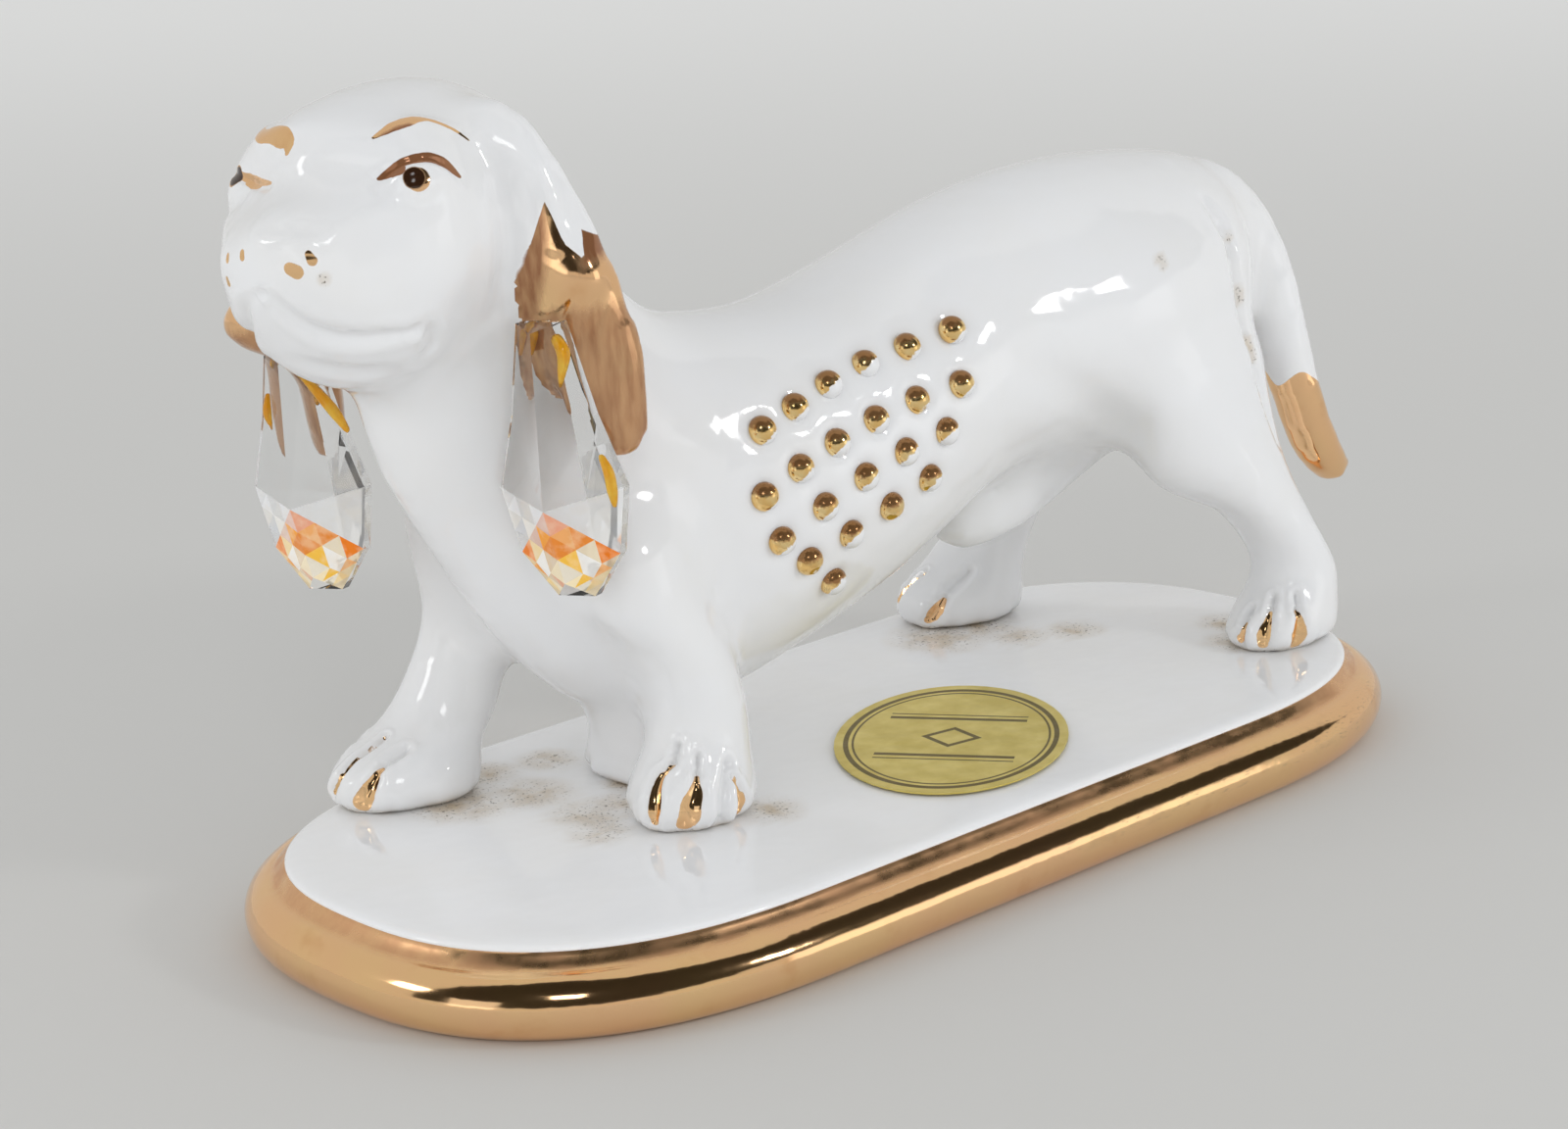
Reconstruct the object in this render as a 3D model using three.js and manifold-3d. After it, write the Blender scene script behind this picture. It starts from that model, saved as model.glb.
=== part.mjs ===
// A glazed porcelain dog on an oval plinth, with gold bead studs on its flanks and two faceted crystals.
// Millimetres, +Z up. It stands on z = 0, the origin is under the middle of the whole piece, and the dog
// faces -X with its left flank to -Y.
import * as THREE from "three";
import { mergeVertices } from "three/addons/utils/BufferGeometryUtils.js";
import { ConvexGeometry } from "three/addons/geometries/ConvexGeometry.js";
import Module from "manifold-3d";

const wasm = await Module();
wasm.setup();

// Driving dimensions of the plinth
const plinthLength = 200;
const plinthWidth = 91;
const plinthEndLength = 58;
const plinthEndFullness = 2.5;
const footRadius = 4.8;
const footRingInset = 3.3;
const coveInset = 6.6;
const lipInset = 5;
const lipHeight = 3;
const lipRound = 2;
const plateTop = 12.3;
const plateThickness = 4.5;
const footWall = 9;
const ceilingRound = 2;

// Where the dog stands on the plate, and how far it is turned
const dogOffsetY = 12;
const dogTurn = -4;

// Fits
const seamGap = 0.3;

// Head, ears and crystals
const headAt = new THREE.Vector3(-76.6, -0.8, 106.6);
const headTurn = 18;
const headTilt = -6.3;
const crystalHeight = 37.5;
const crystalWidth = 20.6;
const crystalThickness = 9;
const crystalAside = 22.3;
const crystalBack = 11;
const crystalDrop = 21.8;

// Bead studs
const beadDiameter = 5;
const beadRise = 2;
const beadSunk = 0.7;
const dimpleFlare = 0.4;

// Foil sticker on the plate
const foilLength = 49;
const foilWidth = 35;
const foilThickness = 0.25;
const foilAt = new THREE.Vector2(8.4, -12.7);
const foilTurn = 36;

// Mesh detail
const plinthSides = 64;
const bodySides = 28;
const legSides = 30;
const limbSides = 12;
const beadSides = 8;

const glaze = { color: 0xe9e6df, roughness: 0.12, metalness: 0 };
const lustre = { color: 0xb07a5c, roughness: 0.18, metalness: 1 };
const brightGold = { color: 0xd9a84e, roughness: 0.2, metalness: 1 };
const leadGlass = { color: 0xdfe6ea, roughness: 0.03, metalness: 0 };
const foilGold = { color: 0xd8b45c, roughness: 0.35, metalness: 0.9 };

const radians = THREE.MathUtils.degToRad;

// A curve through the rows, each a list of numbers, resampled to the given count
function smoothRows(rows, count) {
  const out = [];
  for (let i = 0; i < count; i += 1) {
    const at = (i / (count - 1)) * (rows.length - 1);
    const k = Math.min(Math.floor(at), rows.length - 2);
    const t = at - k;
    const before = rows[Math.max(k - 1, 0)];
    const after = rows[Math.min(k + 2, rows.length - 1)];
    out.push(
      rows[k].map((a, j) => {
        const b = rows[k + 1][j];
        const slopeIn = (b - before[j]) / 2;
        const slopeOut = (after[j] - a) / 2;
        const t2 = t * t;
        const t3 = t2 * t;
        return (
          (2 * t3 - 3 * t2 + 1) * a +
          (t3 - 2 * t2 + t) * slopeIn +
          (3 * t2 - 2 * t3) * b +
          (t3 - t2) * slopeOut
        );
      }),
    );
  }
  return out;
}

// One closed ring of points: centre, two half axes, and a fullness of 2 for an ellipse
function ringAt({ centre, across, along, fullness = 2, sides, grow = 0, notch }) {
  const points = [];
  const acrossGrown = across.clone().setLength(across.length() + grow);
  const alongGrown = along.clone().setLength(along.length() + grow);
  for (let i = 0; i < sides; i += 1) {
    const turn = (i / sides) * Math.PI * 2;
    const c = Math.cos(turn);
    const s = Math.sin(turn);
    const shrink = notch ? notch(turn) : 1;
    points.push(
      centre
        .clone()
        .addScaledVector(acrossGrown, shrink * Math.sign(c) * Math.abs(c) ** (2 / fullness))
        .addScaledVector(alongGrown, shrink * Math.sign(s) * Math.abs(s) ** (2 / fullness)),
    );
  }
  return points;
}

// A closed solid through rings of equal count, with a fan at each end
function solidFromRings(rings) {
  const sides = rings[0].length;
  const points = rings.flat();
  const middle = (ring) => ring.reduce((sum, p) => sum.add(p), new THREE.Vector3()).divideScalar(sides);
  const first = points.length;
  points.push(middle(rings[0]), middle(rings.at(-1)));
  const faces = [];
  for (let r = 0; r + 1 < rings.length; r += 1) {
    for (let i = 0; i < sides; i += 1) {
      const a = r * sides + i;
      const b = r * sides + ((i + 1) % sides);
      faces.push([a, b, b + sides], [a, b + sides, a + sides]);
    }
  }
  for (let i = 0; i < sides; i += 1) {
    const next = (i + 1) % sides;
    const last = (rings.length - 1) * sides;
    faces.push([first, next, i], [first + 1, last + i, last + next]);
  }
  const triple = new THREE.Vector3();
  const volume = faces.reduce(
    (sum, [a, b, c]) => sum + points[a].dot(triple.crossVectors(points[b], points[c])),
    0,
  );
  const ordered = volume < 0 ? faces.map(([a, b, c]) => [a, c, b]) : faces;
  return solidFrom(points, ordered);
}

function solidFrom(points, faces) {
  return new wasm.Manifold(
    new wasm.Mesh({
      numProp: 3,
      vertProperties: new Float32Array(points.flatMap((p) => p.toArray())),
      triVerts: new Uint32Array(faces.flat()),
    }),
  );
}

function solidFromGeometry(geometry) {
  const bare = geometry.index ? geometry.toNonIndexed() : geometry.clone();
  bare.deleteAttribute("normal");
  bare.deleteAttribute("uv");
  const merged = mergeVertices(bare, 1e-4);
  return new wasm.Manifold(
    new wasm.Mesh({
      numProp: 3,
      vertProperties: merged.attributes.position.array,
      triVerts: new Uint32Array(merged.index.array),
    }),
  );
}

function geometryFromSolid(solid) {
  const mesh = solid.getMesh();
  const geometry = new THREE.BufferGeometry();
  geometry.setAttribute("position", new THREE.BufferAttribute(Float32Array.from(mesh.vertProperties), 3));
  geometry.setIndex(new THREE.BufferAttribute(Uint32Array.from(mesh.triVerts), 1));
  const flat = geometry.toNonIndexed();
  flat.computeVertexNormals();
  return flat;
}

// The largest body left after a cut, so that no sliver on the far side of a cutter stays
function largestBody(solid) {
  return solid.decompose().reduce((best, body) => (body.volume() > best.volume() ? body : best));
}

function pieceFromSolid(name, solid, finish) {
  const mesh = new THREE.Mesh(geometryFromSolid(solid), new THREE.MeshStandardMaterial(finish));
  mesh.name = name;
  return mesh;
}

// Plinth: a rounded oval outline, drawn in by an inset at each level of its section
function ovalRing(inset, height) {
  const halfWidth = plinthWidth / 2 - inset;
  const endLength = plinthEndLength * (1 - (2 * inset) / plinthWidth);
  const straight = plinthLength / 2 - inset - endLength;
  const points = [];
  for (let i = 0; i < plinthSides; i += 1) {
    const turn = ((i + 0.5) / plinthSides) * Math.PI * 2;
    const c = Math.cos(turn);
    const s = Math.sin(turn);
    points.push(
      new THREE.Vector3(
        Math.sign(c) * (straight + endLength * Math.abs(c) ** (2 / plinthEndFullness)),
        halfWidth * Math.sign(s) * Math.abs(s) ** (2 / plinthEndFullness),
        height,
      ),
    );
  }
  return points;
}

// The section runs from the hollow's ceiling down its wall, out over the foot ring, round the fat rim,
// into the cove and over the plate's rolled lip
function makePlinth() {
  const ceiling = plateTop - plateThickness;
  const section = [
    [footWall + ceilingRound, ceiling],
    [footWall, ceiling - ceilingRound],
    [footWall, 0],
    [footRingInset, 0],
  ];
  const rimAngles = [-55, -30, -5, 20, 45, 70];
  for (const angle of rimAngles) {
    section.push([
      footRadius * (1 - Math.cos(radians(angle))),
      footRadius * (1 + Math.sin(radians(angle))),
    ]);
  }
  section.push([coveInset, plateTop - lipHeight]);
  section.push([lipInset, plateTop - lipHeight / 2]);
  section.push([lipInset + lipRound / 4, plateTop - lipRound / 4]);
  section.push([lipInset + lipRound, plateTop]);
  return solidFromRings(section.map(([inset, height]) => ovalRing(inset, height)));
}

// Torso with the neck, rump to nape: each row has a point of the back line, a point of the belly line, a
// half width and a fullness
const torsoRows = [
  [93, 78, 92, 64, 7, 2],
  [91, 85, 89, 52, 15, 2.1],
  [84, 89.5, 82, 45, 20.5, 2.2],
  [70, 91.5, 69, 44, 22.5, 2.2],
  [56, 92, 55, 45, 22, 2.1],
  [42, 90.8, 43, 45.5, 20.6, 2],
  [30, 88.2, 31, 42.5, 20.4, 2],
  [18, 84.4, 20, 36.5, 21.2, 2],
  [6, 80.8, 9, 31.5, 22, 2],
  [-5, 78.6, -4, 27, 22.5, 2.1],
  [-16, 79, -18, 22.5, 22, 2.1],
  [-26, 81, -31, 21.5, 20, 2.1],
  [-33, 86.5, -44.5, 27, 18, 2],
  [-37.5, 92.5, -56, 40.5, 16, 2],
  [-40.5, 99, -64.5, 53.5, 14.6, 2],
  [-43, 105, -70.5, 64, 13.6, 2],
  [-47, 109.5, -73.5, 74, 12.5, 2],
  [-54, 111.5, -77, 81, 10.5, 2],
];

function torsoRings(rows, grow) {
  return rows.map(([topX, topZ, bottomX, bottomZ, half, fullness], i) => {
    const up = new THREE.Vector3((topX - bottomX) / 2, 0, (topZ - bottomZ) / 2);
    const centre = new THREE.Vector3((topX + bottomX) / 2, 0, (topZ + bottomZ) / 2);
    if (i === 0) centre.x += grow;
    if (i === rows.length - 1) centre.addScaledVector(new THREE.Vector3(-0.6, 0, 0.8), grow);
    const side = new THREE.Vector3(0, half, 0);
    return ringAt({ centre, across: side, along: up, fullness, sides: bodySides, grow });
  });
}

// Limbs: rows of x, y, z, the half width across and the half width along
const sheathRows = [
  [62, 0, 46, 5, 5],
  [54, 0, 42.5, 5, 4.6],
  [44, 0, 38, 5, 4.4],
  [35, 0, 36.2, 4.4, 3.8],
  [30, 0, 37, 2.8, 2.4],
];

// A limb along a list of centres, with sections square to the way it runs
function limbSolid(rows, sides, grow = 0) {
  const centres = rows.map(([x, y, z]) => new THREE.Vector3(x, y, z));
  return solidFromRings(
    rows.map(([, , , acrossHalf, alongHalf], i) => {
      const ahead = centres[Math.min(i + 1, rows.length - 1)];
      const behind = centres[Math.max(i - 1, 0)];
      const way = ahead.clone().sub(behind).normalize();
      const across = new THREE.Vector3(0, 1, 0);
      across.addScaledVector(way, -across.dot(way)).normalize();
      const along = new THREE.Vector3().crossVectors(way, across).normalize();
      const centre = centres[i].clone();
      if (i === 0) centre.addScaledVector(way, -grow);
      if (i === rows.length - 1) centre.addScaledVector(way, grow);
      return ringAt({
        centre,
        across: across.multiplyScalar(acrossHalf),
        along: along.multiplyScalar(alongHalf),
        sides,
        grow,
      });
    }),
  );
}

function makeTorso(grow = 0) {
  const body = solidFromRings(torsoRings(smoothRows(torsoRows, 26), grow));
  const sheath = limbSolid(smoothRows(sheathRows, 8), limbSides, grow);
  return body.add(sheath);
}

// A leg: level ellipses from the paw's sole upwards, with notches between the four toes
const toeNotches = [-36, 0, 36];

function legSolid({ rows, splay, grow = 0 }) {
  const level = smoothRows(rows, 11);
  return solidFromRings(
    level.map(([x, y, z, longHalf, wideHalf, toeDepth], i) => {
      const forward = new THREE.Vector3(-Math.cos(radians(splay)), -Math.sin(radians(splay)), 0);
      const aside = new THREE.Vector3(-forward.y, forward.x, 0);
      const lift = i === 0 ? -grow : 0;
      return ringAt({
        centre: new THREE.Vector3(x, y, z + lift),
        across: forward.multiplyScalar(longHalf),
        along: aside.multiplyScalar(wideHalf),
        fullness: 2.1,
        sides: legSides,
        grow,
        notch: (turn) => {
          const degrees = THREE.MathUtils.radToDeg(turn > Math.PI ? turn - Math.PI * 2 : turn);
          const near = toeNotches.some((at) => Math.abs(degrees - at) < 180 / legSides);
          return near ? 1 - toeDepth : 1;
        },
      });
    }),
  );
}

// Leg rows: x, y, z, the half length and half width of the level section, and the depth of the toe grooves
const sole = plateTop + seamGap;
const legs = {
  foreleg_left: {
    splay: 22,
    rows: [
      [-36.5, -20.5, sole, 10, 8, 0.06],
      [-36.5, -20.5, sole + 2, 11.2, 8.8, 0.1],
      [-36, -20, sole + 6, 10.2, 8.2, 0.08],
      [-34, -19, sole + 10, 8.4, 7.2, 0],
      [-33.5, -18.5, sole + 16, 7.6, 6.8, 0],
      [-36.4, -18, sole + 24, 7.8, 7, 0],
      [-41, -16.5, sole + 32, 9.8, 7.6, 0],
      [-41, -14, sole + 42, 11, 7.4, 0],
      [-40, -9, sole + 51, 6, 4, 0],
    ],
  },
  foreleg_right: {
    splay: -16,
    rows: [
      [-62.5, 14, sole, 10.5, 7.6, 0.06],
      [-62.5, 14, sole + 2, 11.8, 8.2, 0.1],
      [-61.5, 14.5, sole + 6, 10.6, 7.8, 0.08],
      [-55, 16, sole + 10, 8.6, 7.2, 0],
      [-51, 16.5, sole + 16, 7.6, 6.8, 0],
      [-47, 16.5, sole + 24, 8, 7, 0],
      [-46, 16, sole + 32, 10, 7.6, 0],
      [-46, 14.5, sole + 42, 11.4, 7.8, 0],
      [-42, 9, sole + 51, 6, 4, 0],
    ],
  },
  hindleg_left: {
    splay: 12,
    rows: [
      [83, -24, sole, 10.5, 7.6, 0.06],
      [83, -24, sole + 2, 11.6, 8.4, 0.1],
      [84.4, -24, sole + 6, 9.8, 7.6, 0.08],
      [86.6, -23.5, sole + 11, 7.2, 6.8, 0],
      [82.3, -22.5, sole + 19, 7, 6.8, 0],
      [76, -20, sole + 28, 11, 7.6, 0],
      [71, -16.5, sole + 38, 17, 9, 0],
      [70, -13, sole + 50, 18, 10, 0],
      [72, -8, sole + 60, 9, 5, 0],
    ],
  },
  hindleg_right: {
    splay: -10,
    rows: [
      [54, 22, sole, 10.5, 7.4, 0.06],
      [54, 22, sole + 2, 11.8, 8.2, 0.1],
      [55, 22, sole + 6, 10.6, 7.8, 0.08],
      [59, 22, sole + 11, 8.2, 7.2, 0],
      [64, 21, sole + 19, 7.4, 7, 0],
      [71.5, 19, sole + 28, 10.8, 7.6, 0],
      [72, 16.5, sole + 38, 16, 9, 0],
      [71, 13, sole + 50, 18, 10, 0],
      [72, 8, sole + 60, 9, 5, 0],
    ],
  },
};

const tailRows = [
  [82, 0, 82.5, 5.5, 5.5],
  [89, -1.5, 82.5, 5.2, 5.2],
  [94.3, -5, 76.5, 4.6, 4.6],
  [96.8, -8.5, 67, 4.3, 4.3],
  [98.2, -11, 55, 4.2, 4.2],
  [101, -12.5, 44, 4.1, 4.1],
  [104.8, -13, 37, 3.8, 3.8],
  [109.2, -13, 33.2, 2.6, 2.6],
];

const postRows = [
  [-30, 3, sole, 9, 9],
  [-30, 3, sole + 1.5, 7.5, 7.5],
  [-30, 3, sole + 4, 6.3, 6.3],
  [-30, 3, sole + 14, 6.5, 6.5],
];

// Head: rows of forward distance and height for the top and the underside, with a half width
const headRows = [
  [-33, 1, -32, -6, 5],
  [-30, 6, -29, -15, 12],
  [-24, 9.8, -21, -23, 16],
  [-15, 11.6, -12, -27.5, 18.2],
  [-6, 11.2, -3, -28.5, 18.2],
  [1, 9.8, 3, -28, 17.4],
  [7.2, 7, 7.6, -25.8, 15.2],
  [12.2, 3.4, 11, -23, 12.4],
  [15.4, -0.6, 13.4, -19.8, 9.8],
  [17, -4.6, 15.6, -16.4, 6.8],
  [17.9, -8.2, 17.2, -13.2, 3],
];

const headMatrix = new THREE.Matrix4()
  .makeRotationFromEuler(new THREE.Euler(radians(headTilt), 0, radians(headTurn), "ZYX"))
  .setPosition(headAt);

function inHead(solid) {
  return solid.transform(Array.from(headMatrix.elements));
}

function makeHead(grow = 0) {
  const rings = smoothRows(headRows, 18).map(([topA, topK, bottomA, bottomK, half], i, all) => {
    const shift = (i === all.length - 1 ? -grow : 0) + (i === 0 ? grow : 0);
    return ringAt({
      centre: new THREE.Vector3(-(topA + bottomA) / 2 + shift, 0, (topK + bottomK) / 2),
      across: new THREE.Vector3(0, half, 0),
      along: new THREE.Vector3((bottomA - topA) / 2, 0, (topK - bottomK) / 2),
      fullness: 2.15,
      sides: bodySides,
      grow,
    });
  });
  return inHead(solidFromRings(rings));
}

// An ear hangs from the side of the skull: rows of back, aside, height, wide half, thin half
const earRows = [
  [15, 11.6, 8, 4, 3.2],
  [16.2, 16.2, 4.2, 4, 3.6],
  [17.6, 20.4, -5, 4.4, 3.8],
  [18.2, 22.6, -14.5, 5.8, 3.6],
  [17.8, 23.5, -26, 7.8, 3.2],
  [17.6, 24, -36, 7.4, 2.8],
  [18.4, 24.6, -43, 4, 1.8],
];
const earFlare = 42;

function makeEar(side) {
  const rings = smoothRows(earRows, 14).map(([back, aside, height, wide, thin]) => {
    const wideWay = new THREE.Vector3(Math.cos(radians(earFlare)), side * Math.sin(radians(earFlare)), 0);
    const thinWay = new THREE.Vector3(Math.sin(radians(earFlare)), -side * Math.cos(radians(earFlare)), 0);
    return ringAt({
      centre: new THREE.Vector3(back, side * aside, height),
      across: wideWay.multiplyScalar(wide),
      along: thinWay.multiplyScalar(thin),
      fullness: 2.2,
      sides: limbSides,
    });
  });
  return inHead(solidFromRings(rings));
}

// Crystal: half widths down a pear outline, as shares of its width, and the points of the keel that stands
// out of each face, as shares of the height and of half the thickness
const pearOutline = [
  [0, 0.18],
  [0.16, 0.27],
  [0.32, 0.34],
  [0.48, 0.43],
  [0.63, 0.5],
  [0.74, 0.48],
  [0.86, 0.38],
  [0.94, 0.27],
  [1, 0.14],
];
const girdleShare = 0.14;
const keelPoints = [
  [0.1, 0.6],
  [0.66, 1],
  [0.93, 0.62],
];

function makeCrystal(side, grow = 0) {
  const points = [];
  const halfThick = crystalThickness / 2 + grow;
  const down = (share) => grow - share * (crystalHeight + 2 * grow);
  for (const [share, half] of pearOutline) {
    for (const face of [-1, 1]) {
      for (const edge of [-1, 1]) {
        points.push(
          new THREE.Vector3(
            face * halfThick * girdleShare,
            edge * (half * crystalWidth + grow),
            down(share),
          ),
        );
      }
    }
  }
  for (const face of [-1, 1]) {
    for (const [share, depth] of keelPoints) {
      points.push(new THREE.Vector3(face * halfThick * depth, 0, down(share)));
    }
  }
  const place = new THREE.Vector3(crystalBack, side * crystalAside, -crystalDrop);
  for (const p of points) p.add(place);
  return inHead(solidFromGeometry(new ConvexGeometry(points)));
}

// Beads: rows that fan down from the loin to the elbow, each with its count, start and first step
const beadRows = [
  { count: 6, x: 17.9, z: 73.5, stepX: 8.8, closeX: 0.25, stepZ: 1, closeZ: 0.13 },
  { count: 6, x: 16.8, z: 65.8, stepX: 9.1, closeX: 0.28, stepZ: 0.6, closeZ: 0.27 },
  { count: 5, x: 12.7, z: 59.4, stepX: 8.5, closeX: 0.12, stepZ: 1.1, closeZ: 0.37 },
  { count: 4, x: 9.1, z: 52.8, stepX: 8.1, closeX: 0.08, stepZ: 2.6, closeZ: 0 },
  { count: 1, x: -9, z: 40.4, stepX: 0, closeX: 0, stepZ: 0, closeZ: 0 },
];

// Each bead sits where a level line from outside the flank meets the torso
function beadPlaces(torsoMesh, side) {
  const ray = new THREE.Raycaster();
  const inward = new THREE.Vector3(0, -side, 0);
  const outside = plinthWidth;
  const places = [];
  for (const row of beadRows) {
    for (let i = 0; i < row.count; i += 1) {
      const from = new THREE.Vector3(
        row.x - row.stepX * i + row.closeX * i * i,
        side * outside,
        row.z - row.stepZ * i - row.closeZ * i * i,
      );
      ray.set(from, inward);
      const [hit] = ray.intersectObject(torsoMesh);
      places.push({ at: hit.point.clone(), out: hit.face.normal.clone() });
    }
  }
  return places;
}

function beadGeometry() {
  const radius = beadDiameter / 2;
  const profile = [
    [0, -beadSunk],
    [radius * 0.94, -beadSunk],
    [radius, 0],
    [radius * 0.72, beadRise * 0.74],
    [0, beadRise],
  ];
  const lathe = new THREE.LatheGeometry(
    profile.map(([r, h]) => new THREE.Vector2(r, h)),
    beadSides,
  );
  return lathe.rotateX(Math.PI / 2);
}

function dimpleSolid({ at, out }) {
  const depth = beadSunk + seamGap;
  const tall = depth + beadRise;
  const cutter = new THREE.CylinderGeometry(
    beadDiameter / 2 + seamGap + dimpleFlare,
    beadDiameter / 2 + seamGap,
    tall,
    beadSides,
  );
  cutter.rotateX(Math.PI / 2);
  cutter.translate(0, 0, tall / 2 - depth);
  cutter.applyQuaternion(new THREE.Quaternion().setFromUnitVectors(new THREE.Vector3(0, 0, 1), out));
  cutter.translate(at.x, at.y, at.z);
  return solidFromGeometry(cutter);
}

const figurine = new THREE.Group();
figurine.add(pieceFromSolid("plinth", makePlinth(), glaze));

const foilShape = new THREE.Shape();
foilShape.absellipse(0, 0, foilLength / 2, foilWidth / 2, 0, Math.PI * 2, false, 0);
const foil = new THREE.Mesh(
  new THREE.ExtrudeGeometry(foilShape, { depth: foilThickness, bevelEnabled: false, curveSegments: 24 }),
  new THREE.MeshStandardMaterial(foilGold),
);
foil.name = "foil_sticker";
foil.position.set(foilAt.x, foilAt.y, plateTop + seamGap);
foil.rotation.z = radians(foilTurn);
figurine.add(foil);

const dog = new THREE.Group();
dog.position.y = dogOffsetY;
dog.rotation.z = radians(dogTurn);
figurine.add(dog);

const torsoBlank = makeTorso();
const torsoCutter = makeTorso(seamGap);
const headCutter = makeHead(seamGap);
const blankMesh = new THREE.Mesh(geometryFromSolid(torsoBlank), new THREE.MeshStandardMaterial());
const places = { left: beadPlaces(blankMesh, -1), right: beadPlaces(blankMesh, 1) };
const dimples = [...places.left, ...places.right].map(dimpleSolid);
const crystalCutters = [-1, 1].map((side) => makeCrystal(side, seamGap));
const torso = dimples
  .reduce((solid, dimple) => solid.subtract(dimple), torsoBlank)
  .subtract(headCutter)
  .subtract(crystalCutters[0])
  .subtract(crystalCutters[1]);
dog.add(pieceFromSolid("torso", largestBody(torso), glaze));
dog.add(pieceFromSolid("head", makeHead(), glaze));

for (const [name, side, crystalCutter] of [
  ["left", -1, crystalCutters[0]],
  ["right", 1, crystalCutters[1]],
]) {
  const ear = makeEar(side).subtract(headCutter).subtract(torsoCutter).subtract(crystalCutter);
  dog.add(pieceFromSolid("ear_" + name, largestBody(ear), lustre));
  dog.add(pieceFromSolid("crystal_" + name, makeCrystal(side), leadGlass));
}

for (const [name, leg] of Object.entries(legs)) {
  const solid = legSolid(leg).subtract(torsoCutter);
  dog.add(pieceFromSolid(name, largestBody(solid), glaze));
}

const tail = limbSolid(smoothRows(tailRows, 14), limbSides)
  .subtract(torsoCutter)
  .subtract(legSolid({ ...legs.hindleg_left, grow: seamGap }));
dog.add(pieceFromSolid("tail", largestBody(tail), glaze));

const post = limbSolid(postRows, limbSides)
  .subtract(torsoCutter)
  .subtract(legSolid({ ...legs.foreleg_left, grow: seamGap }))
  .subtract(legSolid({ ...legs.foreleg_right, grow: seamGap }));
dog.add(pieceFromSolid("support_post", largestBody(post), glaze));

const beadShape = beadGeometry();
for (const [flank, list] of Object.entries(places)) {
  list.forEach(({ at, out }, i) => {
    const bead = new THREE.Mesh(beadShape, new THREE.MeshStandardMaterial(brightGold));
    bead.name = "bead_" + flank + "_" + String(i + 1).padStart(2, "0");
    bead.position.copy(at);
    bead.quaternion.setFromUnitVectors(new THREE.Vector3(0, 0, 1), out);
    dog.add(bead);
  });
}

// The tail hangs over the plinth's end, so the middle of the whole piece is a little off the plinth's own
const overall = new THREE.Box3().setFromObject(figurine, true);
figurine.position.set(-(overall.min.x + overall.max.x) / 2, -(overall.min.y + overall.max.y) / 2, 0);
const group = new THREE.Group();
group.add(figurine);

export default group;
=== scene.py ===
import bpy
import bmesh
import math
import numpy as np
from mathutils import Euler, Matrix, Vector
from mathutils.bvhtree import BVHTree


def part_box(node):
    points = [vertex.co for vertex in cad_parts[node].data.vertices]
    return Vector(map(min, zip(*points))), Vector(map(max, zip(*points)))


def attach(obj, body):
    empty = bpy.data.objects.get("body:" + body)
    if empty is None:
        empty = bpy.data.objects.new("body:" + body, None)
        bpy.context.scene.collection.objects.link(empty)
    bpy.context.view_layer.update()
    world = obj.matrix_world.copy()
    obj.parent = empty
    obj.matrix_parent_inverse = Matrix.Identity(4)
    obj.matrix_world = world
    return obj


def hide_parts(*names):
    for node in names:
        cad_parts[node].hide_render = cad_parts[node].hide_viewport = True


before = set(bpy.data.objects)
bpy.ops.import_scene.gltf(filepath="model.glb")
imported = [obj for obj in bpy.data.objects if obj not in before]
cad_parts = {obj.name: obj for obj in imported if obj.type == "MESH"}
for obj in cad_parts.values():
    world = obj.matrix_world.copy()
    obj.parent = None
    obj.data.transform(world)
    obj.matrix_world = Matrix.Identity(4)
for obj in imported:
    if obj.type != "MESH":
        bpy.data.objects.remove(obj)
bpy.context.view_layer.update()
mm = 0.001
print("frame loaded,", len(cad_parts), "CAD nodes")

# Where things stand: the plinth from its CAD box, the dog on it, the head on the dog (mm and degrees)
stand = {
    "dogBack": 12,
    "dogTurn": -4,
    "headAt": (-76.6, -0.8, 106.6),
    "headTilt": -6.3,
    "headTurn": 18,
}
plinthLow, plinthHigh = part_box("plinth")
plinthMiddle = Vector(((plinthLow.x + plinthHigh.x) / 2, (plinthLow.y + plinthHigh.y) / 2, 0))
plinthPlace = Matrix.Translation(plinthMiddle)
dogPlace = Matrix.Translation(plinthMiddle + Vector((0, stand["dogBack"] * mm, 0)))
dogPlace = dogPlace @ Matrix.Rotation(math.radians(stand["dogTurn"]), 4, "Z")
headPlace = dogPlace @ Matrix.Translation(Vector(stand["headAt"]) * mm)
headTurned = Euler((math.radians(stand["headTilt"]), 0, math.radians(stand["headTurn"])))
headPlace = headPlace @ headTurned.to_matrix().to_4x4()


# Small helpers for working by hand in the scene
def pickNothing():
    if bpy.context.object and bpy.context.object.mode != "OBJECT":
        bpy.ops.object.mode_set(mode="OBJECT")
    bpy.ops.object.select_all(action="DESELECT")


def pickOnly(piece):
    pickNothing()
    piece.select_set(True)
    bpy.context.view_layer.objects.active = piece


def applyPlace():
    bpy.ops.object.transform_apply(location=True, rotation=True, scale=True)


def settle(piece, place=None):  # puts a piece where it belongs and leaves its object at the origin
    pickOnly(piece)
    applyPlace()
    if place is not None:
        piece.matrix_world = place
        applyPlace()


def applyAll(piece):
    pickOnly(piece)
    for modifier in list(piece.modifiers):
        bpy.ops.object.modifier_apply(modifier=modifier.name)


def recast(pieces, name, voxel):  # joins the pieces into one skin
    pickNothing()
    for piece in pieces:
        piece.select_set(True)
    bpy.context.view_layer.objects.active = pieces[0]
    bpy.ops.object.join()
    joined = bpy.context.object
    joined.name = name
    settle(joined)
    remesh = joined.modifiers.new("casting", "REMESH")
    remesh.mode = "VOXEL"
    remesh.voxel_size = voxel * mm
    applyAll(joined)
    return joined


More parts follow.
